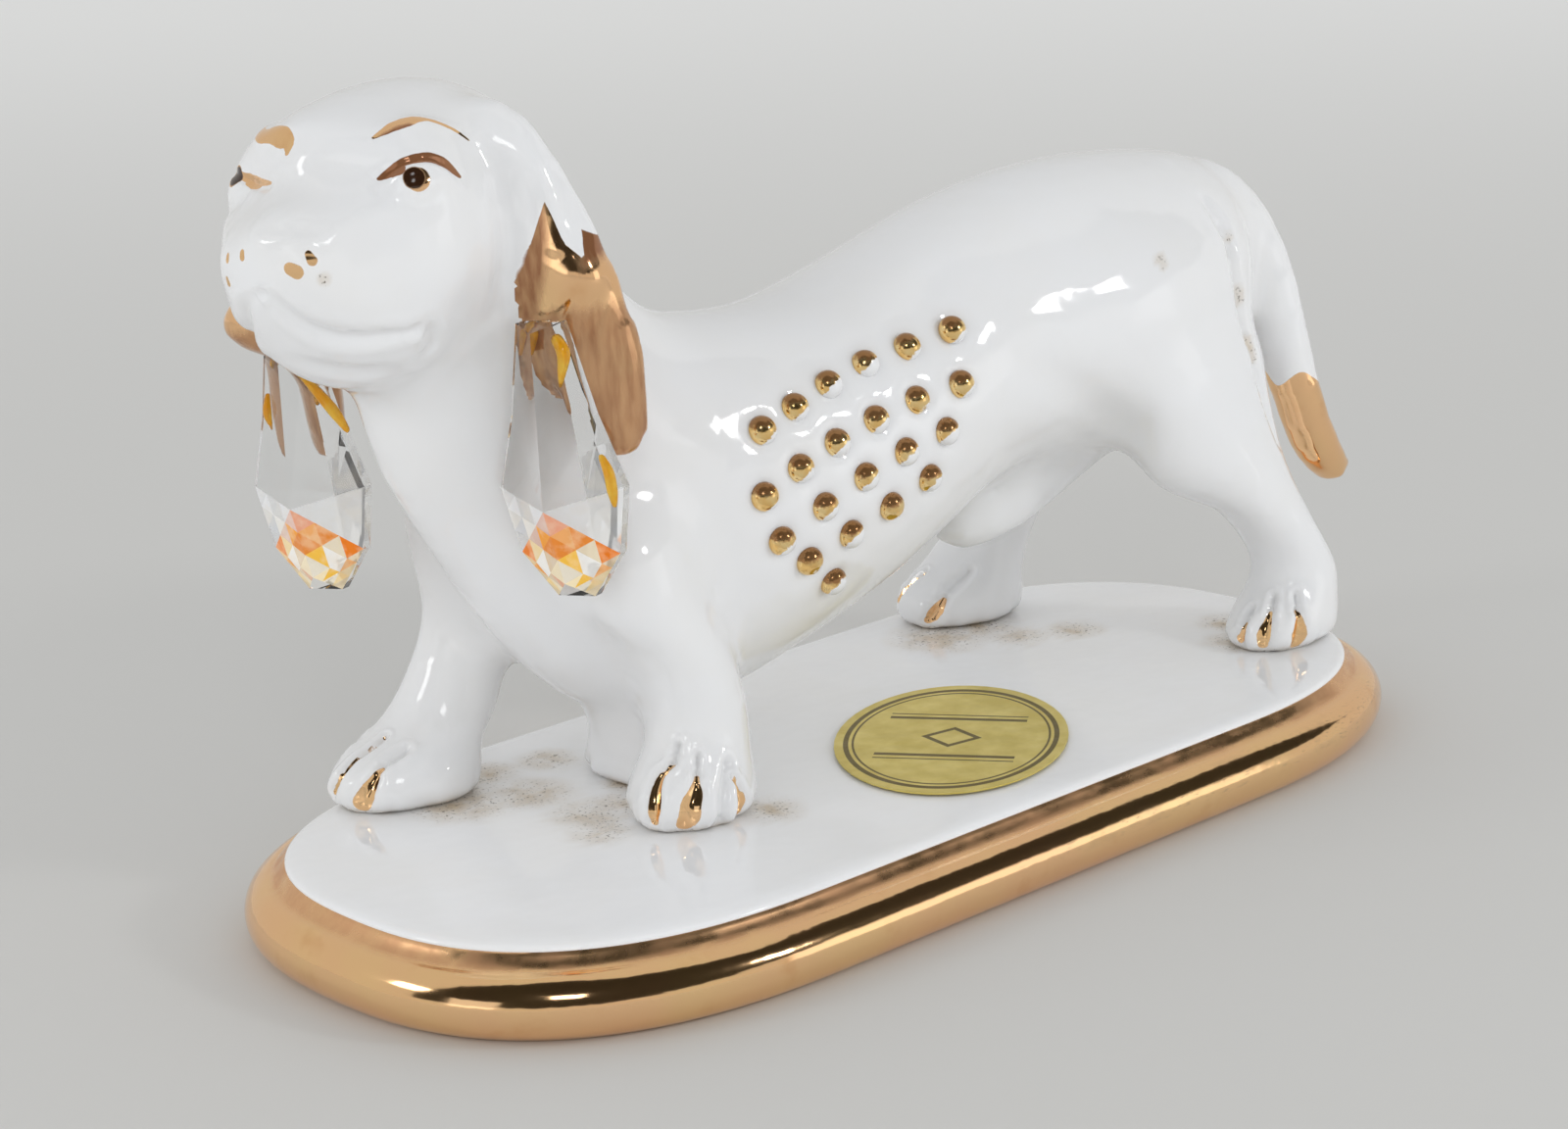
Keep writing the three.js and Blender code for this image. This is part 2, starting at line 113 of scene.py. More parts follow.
def coat(piece, material):  # smooth and in this one material
    pickOnly(piece)
    bpy.ops.object.shade_smooth()
    piece.data.materials.clear()
    piece.data.materials.append(material)


def paintOn(piece, **marks):
    for name, values in marks.items():
        layer = piece.data.attributes.new(name, "FLOAT", "POINT")
        layer.data.foreach_set("value", values.astype(np.float32))


def turnBy(angle, axis, centre):
    if abs(angle) > 1e-6:
        bpy.ops.transform.rotate(value=-angle, orient_axis=axis, center_override=centre)


def smoothRows(rows, count):  # rows taken through a smooth curve, so that the loft has no corners
    spots = [tuple(map(float, row)) for row in rows]
    made = []
    for i in range(count):
        t = i * (len(spots) - 1) / (count - 1)
        k = min(int(t), len(spots) - 2)
        f = t - k
        before, a = spots[max(k - 1, 0)], spots[k]
        b, after = spots[k + 1], spots[min(k + 2, len(spots) - 1)]
        made.append([
            0.5 * (2 * a[j] + (b[j] - before[j]) * f
                   + (2 * before[j] - 5 * a[j] + 4 * b[j] - after[j]) * f * f
                   + (3 * a[j] - before[j] - 3 * b[j] + after[j]) * f ** 3)
            for j in range(len(a))
        ])
    return made


def loft(name, rings, sides=32):  # each ring: centre, half length, half width, lean about Y, turn about Z
    pickNothing()
    piece = None
    last = None
    for at, long, wide, lean, turn in rings:
        centre = Vector(at) * mm
        if piece is None:
            bpy.ops.mesh.primitive_circle_add(vertices=sides, radius=mm, fill_type="NGON", location=centre)
            piece = bpy.context.object
            piece.name = name
            bpy.ops.object.mode_set(mode="EDIT")
            bpy.ops.transform.resize(value=(long, wide, 1), center_override=centre)
        else:
            bpy.ops.mesh.extrude_region_move(TRANSFORM_OT_translate={"value": centre - last[0]})
            turnBy(-last[4], "Z", centre)
            turnBy(-last[3], "Y", centre)
            bpy.ops.transform.resize(value=(long / last[1], wide / last[2], 1), center_override=centre)
        turnBy(lean, "Y", centre)
        turnBy(turn, "Z", centre)
        last = (centre, long, wide, lean, turn)
    bpy.ops.mesh.select_all(action="SELECT")
    bpy.ops.mesh.normals_make_consistent(inside=False)
    bpy.ops.object.mode_set(mode="OBJECT")
    settle(piece)
    return piece


# Camera at the photograph's viewing angle
photoView = {
    "at": (-335.6, -345.5, 180.2),
    "azimuth": -43.04,
    "elevation": 16.26,
    "roll": -2.0,
    "lens": 77.155,
}


def setCamera():
    a, e, r = (math.radians(photoView[k]) for k in ("azimuth", "elevation", "roll"))
    back = Vector((math.sin(a) * math.cos(e), -math.cos(a) * math.cos(e), math.sin(e)))
    right = Vector((math.cos(a), math.sin(a), 0))
    up = back.cross(right)
    rightTilted = right * math.cos(r) + up * math.sin(r)
    upTilted = up * math.cos(r) - right * math.sin(r)
    bpy.ops.object.camera_add()
    camera = bpy.context.object
    camera.name = "photo_camera"
    camera.matrix_world = Matrix.Translation(plinthMiddle + Vector(photoView["at"]) * mm) @ Matrix(
        (rightTilted, upTilted, back)).transposed().to_4x4()
    camera.data.lens = photoView["lens"]
    camera.data.sensor_width = 36
    camera.data.clip_start = 0.01
    bpy.context.scene.camera = camera


pickNothing()
setCamera()
print("camera set")

# Nodes: what feeds a node is a number, a colour, the name of a finish or the output of another node
def feed(node, values):
    for key, value in values.items():
        socket = node.inputs[key]
        if isinstance(value, str):
            value = finishes[value]
        if isinstance(value, bpy.types.NodeSocket):
            node.id_data.links.new(value, socket)
        elif socket.type == "RGBA":
            socket.default_value = (*value, 1)
        else:
            socket.default_value = value


def addNode(tree, kind, values=None, **settings):
    node = tree.nodes.new("ShaderNode" + kind)
    for key, value in settings.items():
        setattr(node, key, value)
    feed(node, values or {})
    return node


def mathNode(operation, a, b=None, clamp=False):
    tree = next(v for v in (a, b) if isinstance(v, bpy.types.NodeSocket)).id_data
    values = {0: a} if b is None else {0: a, 1: b}
    return addNode(tree, "Math", values, operation=operation, use_clamp=clamp).outputs[0]


def plus(a, b, clamp=False):
    return mathNode("ADD", a, b, clamp)


def times(a, b, clamp=False):
    return mathNode("MULTIPLY", a, b, clamp)


def less(a, b):
    return mathNode("SUBTRACT", a, b)


def larger(a, b):
    return mathNode("MAXIMUM", a, b)


def spread(value, low, high, toLow=0.0, toHigh=1.0, smooth=False):
    limits = {"Value": value, "From Min": low, "From Max": high, "To Min": toLow, "To Max": toHigh}
    kind = "SMOOTHSTEP" if smooth else "LINEAR"
    return addNode(value.id_data, "MapRange", limits, interpolation_type=kind).outputs["Result"]


def mixColour(factor, a, b):
    return addNode(factor.id_data, "Mix", {0: factor, 6: a, 7: b}, data_type="RGBA").outputs[2]


def mixValue(factor, a, b):
    return addNode(factor.id_data, "Mix", {0: factor, 2: a, 3: b}, data_type="FLOAT").outputs[0]


def noise(tree, scale, detail, stretch=None):
    source = addNode(tree, "TexCoord").outputs["Object"]
    if stretch:
        source = addNode(tree, "Mapping", {"Vector": source, "Scale": stretch}).outputs["Vector"]
    values = {"Vector": source, "Scale": scale, "Detail": detail, "Roughness": 0.55}
    return addNode(tree, "TexNoise", values).outputs["Fac"]


grains = {  # noise scale, detail and stretch, then the range it is read from and spread to
    "cloud": (45, 4, None, 0.35, 0.75, 0, 0.35, True),
    "ragged": (700, 2, None, 0, 1, -0.09, 0.09),
    "brushed": (900, 3, (1, 1, 0.2), 0.3, 0.7, -0.1, 0.1),
    "smear": (260, 4, (1, 1, 0.4), 0.36, 0.66, 0.26, 0.86),
    "speck": (1700, 2, None, 0.59, 0.67, 0, 0.85),
    "goldPatch": (55, 2, None, 0.35, 0.68, 0, 1, True),
    "goldDeep": (140, 3, None, 0.56, 0.78, 0, 0.5, True),
    "rimScratch": (2600, 3, (0.2, 1, 1), 0.58, 0.72, 0, 0.6),
    "rimRubbed": (300, 3, (0.4, 1, 1), 0.55, 0.75, 0, 0.4),
    "rimCove": (260, 4, (0.5, 1, 1), 0.35, 0.62, 0.35, 1),
    "studTone": (600, 2, None, 0.35, 0.65),
    "studTop": (1100, 3, None, 0, 1, -0.35, 0.35),
    "studRub": (900, 3, None, 0, 1, -0.30, 0.30),
    "streak": (420, 3, None, 0.45, 0.65, 0, 0.35),
    "glueCloud": (350, 3, None, 0.35, 0.65),
    "foilPatch": (220, 3, None, 0.35, 0.7),
}
waves = {  # bumps: noise scale, detail and height (m)
    "glaze": (120, 2, 0.00012),
    "rim": (70, 3, 0.00025),
    "stud": (900, 2, 0.00005),
    "glue": (500, 2, 0.0001),
    "foil": (150, 3, 0.0003),
}
markEdges = {  # how a painted distance (mm) fades in
    "lustre": (-0.05, 0.06),
    "iris": (-0.10, 0.14),
    "umber": (-0.25, 0.25, 0, 0.85),
    "paintedDarkReflection": (0.0, 0.22, 0, 0.9),
    "bare": (-0.03, 0.05),
    "speck": (0.15, 0.7),
}


def grain(tree, name):
    scale, detail, stretch, *limits = grains[name]
    return spread(noise(tree, scale, detail, stretch), *limits)


def wavy(shader, name):
    scale, detail, height = waves[name]
    tree = shader.id_data
    bump = addNode(tree, "Bump", {"Distance": height, "Height": noise(tree, scale, detail)})
    feed(shader, {"Normal": bump.outputs["Normal"]})


def mark(tree, name):
    return addNode(tree, "Attribute", attribute_name=name).outputs["Fac"]


def newMaterial(name, values=None):
    material = bpy.data.materials.new(name)
    material.use_nodes = True
    tree = material.node_tree
    shader = next(n for n in tree.nodes if n.type == "BSDF_PRINCIPLED")
    feed(shader, values or {})
    return material, tree, shader


finishes = {
    "glaze": (0.765, 0.768, 0.775),
    "glazeWarm": (0.755, 0.742, 0.715),
    "plate": (0.85, 0.853, 0.86),
    "plateWarm": (0.84, 0.825, 0.795),
    "rose": (0.98, 0.61, 0.33),
    "yellow": (0.98, 0.65, 0.33),
    "deep": (0.82, 0.44, 0.19),
    # umber paint, also the colour of painted shade and painted dark reflections
    "umber": (0.20, 0.055, 0.016),
    "stain": (0.50, 0.38, 0.23),
    "speck": (0.10, 0.075, 0.05),
    "iris": (0.030, 0.012, 0.005),
    "coveGold": (0.80, 0.46, 0.25),
    "dullGold": (0.46, 0.32, 0.21),
    "studGold": (0.93, 0.60, 0.22),
    "studPale": (0.98, 0.74, 0.36),
    # painted dark reflection on the studs' upper side
    "studPaintedDarkReflection": (0.29, 0.125, 0.045),
    "glassCool": (0.97, 0.98, 0.985),
    "glassWhite": (1.0, 1.0, 1.0),
    # streaks mixed into the crystals' painted reflection tints
    "paintedReflectionStreak": (0.98, 0.78, 0.50),
    "glueDeep": (0.95, 0.42, 0.01),
    "gluePale": (1, 0.64, 0.07),
    "foilDeep": (0.68, 0.54, 0.13),
    "foilPale": (0.82, 0.68, 0.22),
    "ink": (0.16, 0.115, 0.02),
    "glazeRough": 0.07,
    "lustreRough": 0.11,
    "dullRough": 0.24,
}


def goldColour(tree):
    bright = mixColour(grain(tree, "goldPatch"), "rose", "yellow")
    return mixColour(grain(tree, "goldDeep"), bright, "deep")


def makePorcelain(name, glaze, glazeWarm):
    material, tree, shader = newMaterial(name, {
        "IOR": 1.52,
        "Subsurface Weight": 0.12,
        "Subsurface Radius": (1, 0.95, 0.9),
        "Subsurface Scale": 0.002,
    })
    ragged = grain(tree, "ragged")
    lustre = spread(plus(mark(tree, "lustre"), ragged), *markEdges["lustre"])
    iris = spread(plus(mark(tree, "iris"), ragged), *markEdges["iris"])
    # umber paint with painted shade and painted dark reflections: lids, brow edges, ear fronts and ears
    umber = spread(plus(mark(tree, "umber"), grain(tree, "brushed")), *markEdges["umber"])
    dusty = mark(tree, "stain")
    dirt = times(dusty, grain(tree, "smear"), clamp=True)
    speck = times(spread(dusty, *markEdges["speck"]), grain(tree, "speck"), clamp=True)
    white = mixColour(grain(tree, "cloud"), glaze, glazeWarm)
    white = mixColour(dirt, white, "stain")
    white = mixColour(speck, white, "speck")
    gold = mixColour(umber, goldColour(tree), "umber")
    rough = mixValue(lustre, "glazeRough", "lustreRough")
    feed(shader, {
        "Base Color": mixColour(iris, mixColour(lustre, white, gold), "iris"),
        "Metallic": times(times(lustre, less(1, iris)), less(1, times(umber, 0.7))),
        "Roughness": plus(rough, times(dirt, 0.5)),
    })
    wavy(shader, "glaze")
    return material


def makeLustre():
    material, tree, shader = newMaterial("rose_gold_rim", {"Metallic": 1})
    dull = times(mark(tree, "worn"), larger(grain(tree, "rimScratch"), grain(tree, "rimRubbed")), clamp=True)
    patchy = times(mark(tree, "cove"), grain(tree, "rimCove"))
    gold = mixColour(patchy, goldColour(tree), "coveGold")
    rough = mixValue(dull, "lustreRough", "dullRough")
    feed(shader, {
        "Base Color": mixColour(dull, gold, "dullGold"),
        "Roughness": plus(rough, times(patchy, 0.3)),
    })
    wavy(shader, "rim")
    return material


def makeGoldBead():
    material, tree, shader = newMaterial("bright_gold_stud", {"Roughness": 0.16})
    # painted dark reflection: the upper side of each stud turns dark brown
    paintedDarkReflection = spread(plus(mark(tree, "top"), grain(tree, "studTop")), *markEdges["paintedDarkReflection"])
    bare = spread(plus(mark(tree, "rub"), grain(tree, "studRub")), *markEdges["bare"])
    colour = mixColour(grain(tree, "studTone"), "studGold", "studPale")
    colour = mixColour(paintedDarkReflection, colour, "studPaintedDarkReflection")
    feed(shader, {
        "Base Color": mixColour(bare, colour, "glaze"),
        "Metallic": times(less(1, times(paintedDarkReflection, 0.38)), less(1, bare)),
    })
    wavy(shader, "stud")
    return material


def makeCrystal():
    material, tree, shader = newMaterial("cut_lead_crystal", {"IOR": 1.34})
    paintedReflectionTint = addNode(tree, "Attribute", attribute_name="paintedReflectionTint").outputs["Color"]
    amberGlueAndPaintedReflection = mark(tree, "amberGlueAndPaintedReflection")
    haze = noise(tree, 260, 3)
    clear = mixColour(haze, "glassCool", "glassWhite")
    # painted reflections: tinted facets stand in for the gold and glue seen in the cut glass, and turn partly
    # opaque
    feed(shader, {
        "Base Color": mixColour(amberGlueAndPaintedReflection, clear, mixColour(grain(tree, "streak"),
            paintedReflectionTint, "paintedReflectionStreak")),
        "Transmission Weight": spread(amberGlueAndPaintedReflection, 0, 1, 1, 0.12),
        "Roughness": spread(haze, 0.3, 0.8, 0.0, 0.03),
    })
    return material


def makeGlue():
    material, tree, shader = newMaterial("amber_glue", {
        "Transmission Weight": 0.55,
        "IOR": 1.45,
        "Roughness": 0.12,
    })
    feed(shader, {"Base Color": mixColour(grain(tree, "glueCloud"), "glueDeep", "gluePale")})
    wavy(shader, "glue")
    return material


def makeFoil():
    material, tree, shader = newMaterial("olive_gold_foil", {"Metallic": 0.6, "Roughness": 0.4})
    centred = addNode(tree, "Mapping", {
        "Vector": addNode(tree, "TexCoord").outputs["Object"],
        "Location": plinthMiddle + Vector((*label["at"], 0)) * mm,
        "Rotation": (0, 0, math.radians(label["turn"])),
        "Scale": (label["long"] * mm, label["wide"] * mm, 1),
    }, vector_type="TEXTURE")
    split = addNode(tree, "SeparateXYZ", {0: centred.outputs["Vector"]})
    u, v = (mathNode("ABSOLUTE", split.outputs[axis]) for axis in "XY")
    out = mathNode("SQRT", plus(times(u, u), times(v, v)))

    def band(value, middle, half):
        return mathNode("LESS_THAN", mathNode("ABSOLUTE", less(value, middle)), half)

    border = plus(*(band(out, *line) for line in label["border"]))
    rules = plus(*(band(u, *line) for line in label["rules"]))
    rules = times(rules, mathNode("LESS_THAN", v, label["ruleReach"]))
    lozenge = band(plus(u, times(v, label["lozengeLean"])), *label["lozenge"])
    inked = plus(plus(border, rules), lozenge, clamp=True)
    gold = mixColour(grain(tree, "foilPatch"), "foilDeep", "foilPale")
    feed(shader, {"Base Color": mixColour(inked, gold, "ink")})
    wavy(shader, "foil")
    return material


# Studio: floor, soft lamps and what the gloss sees
studio = {
    "backdrop": (0.612, 0.600, 0.570),
    "fill": (0.97, 0.985, 1),
    "fillLow": 1.45,
    "fillHigh": 0.5,
    "fillHighAt": 0.9,
    "floorSide": 9,
    "floor": (0.62, 0.612, 0.59),
    "floorFar": (0.88, 0.873, 0.852),
    "floorBounce": (0.93, 0.925, 0.91),
    "floorGlow": 0.025,  # only for what looks at it, not for what it lights
    "glow": (1, 0.99, 0.97),
    "farDirection": (0.682, 0.731, 0),
    "farReach": (0.1, 1.2),
    "aim": (-10, 5, 60),
    "lamps": [  # name, azimuth and elevation from the object, distance (m), side (m), power (W)
        ("key_right", -62, 25, 1.1, 0.12, 1.4),
        ("side_left", 158, 28, 1.2, 0.24, 1.0),
        ("over_front", -130, 36, 1.2, 0.2, 0.7),
        ("low_left", -168, 12, 1.3, 0.5, 0.6),
        ("low_right", -52, 2, 1.3, 0.5, 0.5),
    ],
    "roomRadius": 1500,  # the dark room round the front, which only the gloss sees (mm, degrees)
    "roomMiddle": -100,
    "roomReachLeft": 95,
    "roomReachRight": 84,
    "roomFrom": 10,
    "roomRise": 0.15,  # towards the right the dark part starts higher and ends sooner
    "roomFall": 1.0,
    "roomFallFrom": 20,
    "roomChangeTo": 55,
    "roomColour": (0.032, 0.028, 0.02),
}


def seenDirectly(tree):  # 1 for what the camera, the gloss and the glass see, 0 for what is lit
    path = addNode(tree, "LightPath").outputs
    return larger(larger(path["Is Camera Ray"], path["Is Glossy Ray"]), path["Is Transmission Ray"])


def makeWorld():
    world = bpy.data.worlds.new("pale_studio")
    bpy.context.scene.world = world
    world.use_nodes = True
    tree = world.node_tree
    tree.nodes.clear()
    way = addNode(tree, "SeparateXYZ", {0: addNode(tree, "TexCoord").outputs["Generated"]})
    strength = spread(way.outputs["Z"], 0.0, studio["fillHighAt"], studio["fillLow"], studio["fillHigh"])
    fill = addNode(tree, "Background", {"Color": studio["fill"], "Strength": strength})
    backdrop = addNode(tree, "Background", {"Color": studio["backdrop"]})
    mix = addNode(tree, "MixShader", {0: seenDirectly(tree), 1: fill.outputs[0], 2: backdrop.outputs[0]})
    addNode(tree, "OutputWorld", {"Surface": mix.outputs[0]})


def makeFloor():
    pickNothing()
    bpy.ops.mesh.primitive_plane_add(size=studio["floorSide"], location=(0, 0, 0))
    floor = bpy.context.object
    floor.name = "floor"
    sweep, tree, shader = newMaterial("pale_floor", {
        "Emission Color": studio["glow"],
        "Roughness": 0.9,
        "Specular IOR Level": 0.2,
    })
    along = addNode(tree, "VectorMath", {
        0: addNode(tree, "TexCoord").outputs["Object"],
        1: studio["farDirection"],
    }, operation="DOT_PRODUCT")
    far = spread(along.outputs["Value"], *studio["farReach"], smooth=True)  # paler the further back it runs
    seen = seenDirectly(tree)
    look = mixColour(far, studio["floor"], studio["floorFar"])
    feed(shader, {
        "Base Color": mixColour(seen, studio["floorBounce"], look),
        "Emission Strength": times(seen, studio["floorGlow"]),
    })
    floor.data.materials.append(sweep)


def makeLamps():
    aim = plinthMiddle + Vector(studio["aim"]) * mm
    for name, azimuth, elevation, distance, side, power in studio["lamps"]:
        a, e = math.radians(azimuth), math.radians(elevation)
        away = Vector((math.cos(a) * math.cos(e), math.sin(a) * math.cos(e), math.sin(e)))
        bpy.ops.object.light_add(type="AREA", location=aim + away * distance)
        lamp = bpy.context.object
        lamp.name = name
        lamp.rotation_euler = away.to_track_quat("Z", "Y").to_euler()
        lamp.data.shape = "SQUARE"
        lamp.data.size = side
        lamp.data.energy = power


def inDarkRoom(at):
    height = math.degrees(math.atan2(at.z, math.hypot(at.x, at.y)))
    turn = (math.degrees(math.atan2(at.y, at.x)) - studio["roomMiddle"] + 180) % 360 - 180
    right = min(max(turn, 0), studio["roomChangeTo"])
    lowest = studio["roomFrom"] + studio["roomRise"] * right
    highest = 90 - studio["roomFall"] * max(right - studio["roomFallFrom"], 0)
    return -studio["roomReachLeft"] < turn < studio["roomReachRight"] and lowest < height < highest


def makeDarkRoom():
    pickNothing()
    bpy.ops.mesh.primitive_uv_sphere_add(
        segments=96, ring_count=60, radius=studio["roomRadius"] * mm, location=plinthMiddle)
    room = bpy.context.object
    room.name = "dark_room"
    net = bmesh.new()
    net.from_mesh(room.data)
    gone = [one for one in net.faces if not inDarkRoom(one.calc_center_median() - plinthMiddle)]
    bmesh.ops.delete(net, geom=gone, context="FACES")
    net.to_mesh(room.data)
    net.free()
    paint = {"Base Color": studio["roomColour"], "Roughness": 1, "Specular IOR Level": 0.2}
    room.data.materials.append(newMaterial("dark_room", paint)[0])
    room.visible_camera = False
    room.visible_diffuse = False
    room.visible_transmission = False
    room.visible_shadow = False


makeWorld()
makeFloor()
makeLamps()
makeDarkRoom()
print("studio set")

# The dog's skin: forms laid as rings down each limb (mm, dog's own frame), then joined into one casting
bodyForms = {
    "torso": [  # back x, back z, belly x, belly z, half width
        (93, 78, 92, 64, 6), (90, 85, 88, 52, 11.5), (83, 89.5, 81, 45, 17.5), (70, 91.5, 69, 44, 21.5),
        (56, 92, 55, 45, 22), (42, 90.8, 43, 45.5, 20.6), (30, 88.2, 31, 42.5, 20.4),
        (18, 84.4, 20, 36.5, 21.2),
        (6, 80.8, 9, 31.5, 22), (-5, 78.6, -4, 27, 22.5), (-16, 79, -18, 22.5, 22), (-26, 81, -31, 21.5, 20),
        (-33, 86.5, -44.5, 27, 18), (-37.5, 92.5, -56, 40.5, 16), (-40.5, 99, -64.5, 53.5, 14.6),
        (-43, 105, -70.5, 64, 13.6), (-47, 109.5, -73.5, 74, 12.5), (-54, 111.5, -77, 81, 10.5),
    ],
    "sheath": [(62, 0, 47.5, 6.2), (54, 0, 44, 6), (44, 0, 39.4, 5.7), (35, 0, 37.2, 4.9),
        (30, 0, 37.6, 2.9)],
    "tail": [
        (80, 0, 81.5, 7), (88, -1.5, 82, 6), (93.8, -5, 76.5, 5), (96.5, -8.5, 67, 4.6), (98, -11, 55, 4.4),
        (101, -12.5, 44, 4.1), (104.8, -13, 37, 3.8), (109.2, -13, 33.2, 2.6),
    ],
    "post": [(-31, -2, 12.1, 9.5, 12), (-31, -2, 13.8, 8, 10.8), (-31, -1.8, 16.3, 7, 10),
        (-31, -1.5, 27, 7.4, 10)],
    "head": [  # crown forward, crown up, chin forward, chin up, half width
        (-33, 1, -32, -6, 5), (-30, 6, -29, -15, 12), (-24, 9.8, -21, -23, 16), (-15, 11.6, -12, -27.5, 18.2),
        (-6, 11.2, -3, -28.5, 18.2), (1, 9.8, 3, -28, 17.4), (7.2, 7, 7.6, -25.8, 15.2),
        (12.2, 3.4, 11, -23, 12.4),
        (15.4, -0.6, 13.4, -19.8, 9.8), (17, -4.6, 15.6, -16.4, 6.8), (17.9, -8.2, 17.2, -13.2, 3),
    ],
    "ear": [  # back, aside, up, half width, half thickness
        (15, 11.6, 8, 4, 3.2), (16.2, 16.2, 4.2, 4, 3.6), (17.6, 20.4, -5, 4.4, 3.8),
        (18.2, 22.6, -14.5, 5.8, 3.6),
        (18.9, 24.4, -26, 6.8, 3.0), (19.6, 25.2, -36, 5.8, 2.6), (20.2, 25.8, -43, 3.2, 1.7),
    ],
    "earFlare": 42,
    "legs": {
        "foreleg_left": (22, [
        (-36.5, -20.5, -0.5, 10, 8), (-36.5, -20.5, 2, 11.2, 8.8), (-36, -20, 6, 10.2, 8.2),
        (-34, -19, 10, 8.4, 7.2),
        (-33.5, -18.5, 16, 7.6, 6.8), (-36.4, -18, 24, 7.8, 7), (-41, -16.5, 32, 9.8, 7.6),
        (-41, -14, 42, 11, 7.4),
        (-40, -9, 51, 6, 4)]),
        "foreleg_right": (-16, [
        (-62.5, 14, -0.5, 10.5, 7.6), (-62.5, 14, 2, 11.8, 8.2), (-61.5, 14.5, 6, 10.6, 7.8),
        (-55, 16, 10, 8.6, 7.2),
        (-51, 16.5, 16, 7.6, 6.8), (-47, 16.5, 24, 8, 7), (-46, 16, 32, 10, 7.6),
        (-46, 14.5, 42, 11.4, 7.8),
        (-42, 9, 51, 6, 4)]),
        "hindleg_left": (12, [
        (83, -24, -0.5, 10.5, 7.6), (83, -24, 2, 11.6, 8.4), (84.4, -24, 6, 9.8, 7.6),
        (86.6, -23.5, 11, 7.2, 6.8),
        (82.3, -22.5, 19, 7, 6.8), (76, -20, 28, 11, 7.6), (71, -16.5, 38, 17, 9), (70, -13, 50, 18, 10),
        (72, -8, 60, 9, 5)]),
        "hindleg_right": (-10, [
        (54, 22, -0.5, 10.5, 7.4), (54, 22, 2, 11.8, 8.2), (55, 22, 6, 10.6, 7.8), (59, 22, 11, 8.2, 7.2),
        (64, 21, 19, 7.4, 7), (71.5, 19, 28, 10.8, 7.6), (72, 16.5, 38, 16, 9), (71, 13, 50, 18, 10),
        (72, 8, 60, 9, 5)]),
    },
    "voxel": 1.95,
    "creaseRounds": 18,
    "bodyPushes": [  # middle, reach each way, move; each is made on both flanks
        ((52, 20, 64), (28, 15, 27), (0, 2.2, 0)),
        ((18, 19, 78), (16, 12, 17), (0, -1.4, 0)),
        ((46, 18, 52), (12, 10, 8), (0, -0.9, 0)),
        ((62, 17, 43), (17, 12, 12), (-2.4, 0.3, -2.0)),
    ],
    "headPushes": [  # forward, aside, up
        ((0, 14, 4.5), (11, 9, 8), (0, 2.0, 0.6)),
        ((1, 16, -2), (8, 8, 7), (0, 1.5, 0)),
        ((12, 13, -8), (8, 7, 8), (-0.3, -0.9, 0)),
        ((0, 17.5, -11), (9, 7, 8), (0, 0.6, 0)),
    ],
    "earPushes": [
        ((-15.5, 25.5, -16.5), (6, 6, 6.5), (0.3, 2.0, 0)),
        ((-15, 24, -6), (5, 5, 6), (0, -0.5, 0)),
    ],
    "farEarPushes": [  # the right ear's lobe stands further forward
        ((-18, 24, -20.2), (16, 16, 9.4), (12, 4.2, 0)),
    ],
}

# How far forward the face may stand, by the distance from its middle and by height: brow, stop and nose
faceShape = {
    "middle": -1,
    "aside": [0, 3.5, 7.5, 11.5, 14.5, 17.5, 21],
    "rows": [
        (-9, 30, 28, 25, 22, 18, 15, 12),
        (-6, 20, 18.4, 15.6, 13, 11, 9, 6),
        (-3.5, 17.2, 15.4, 12.6, 10, 8.2, 6.6, 4),
        (-2.2, 14.2, 12.4, 9.8, 7.8, 6.2, 4.6, 2),
        (-1, 11, 9.8, 7.5, 5.6, 4.5, 3.2, 1),
        (1, 9.4, 8.2, 6, 4.1, 2.9, 1.4, -1.5),
        (3, 8.4, 7.4, 5.6, 3.9, 2.6, 0.6, -3),
        (5, 7, 6.4, 5, 3.2, 1.4, -1.5, -6),
        (7.5, 5.2, 4.8, 3.6, 1.6, -1, -5, -12),
        (9.5, 6, 6, 6, 6, 6, 6, 6),
    ],
    "soft": 0.8,
}
soleHeight = 12.6


def slabRings(rows, count, forward=1):  # rings that lean with the line from belly to back
    rings = []
    for topX, topZ, lowX, lowZ, half in smoothRows(rows, count):
        topX, lowX = topX * forward, lowX * forward
        across = Vector((topX - lowX, 0, topZ - lowZ))
        lean = math.atan2(-across.z, across.x)
        rings.append((((topX + lowX) / 2, 0, (topZ + lowZ) / 2), across.length / 2, half, lean, 0))
    return rings


def tubeRings(rows, count):
    rows = smoothRows(rows, count)
    rings = []
    for i, (x, y, z, radius) in enumerate(rows):
        a, b = rows[max(i - 1, 0)], rows[min(i + 1, len(rows) - 1)]
        rings.append(((x, y, z), radius, radius, math.atan2(b[0] - a[0], b[2] - a[2]), 0))
    return rings


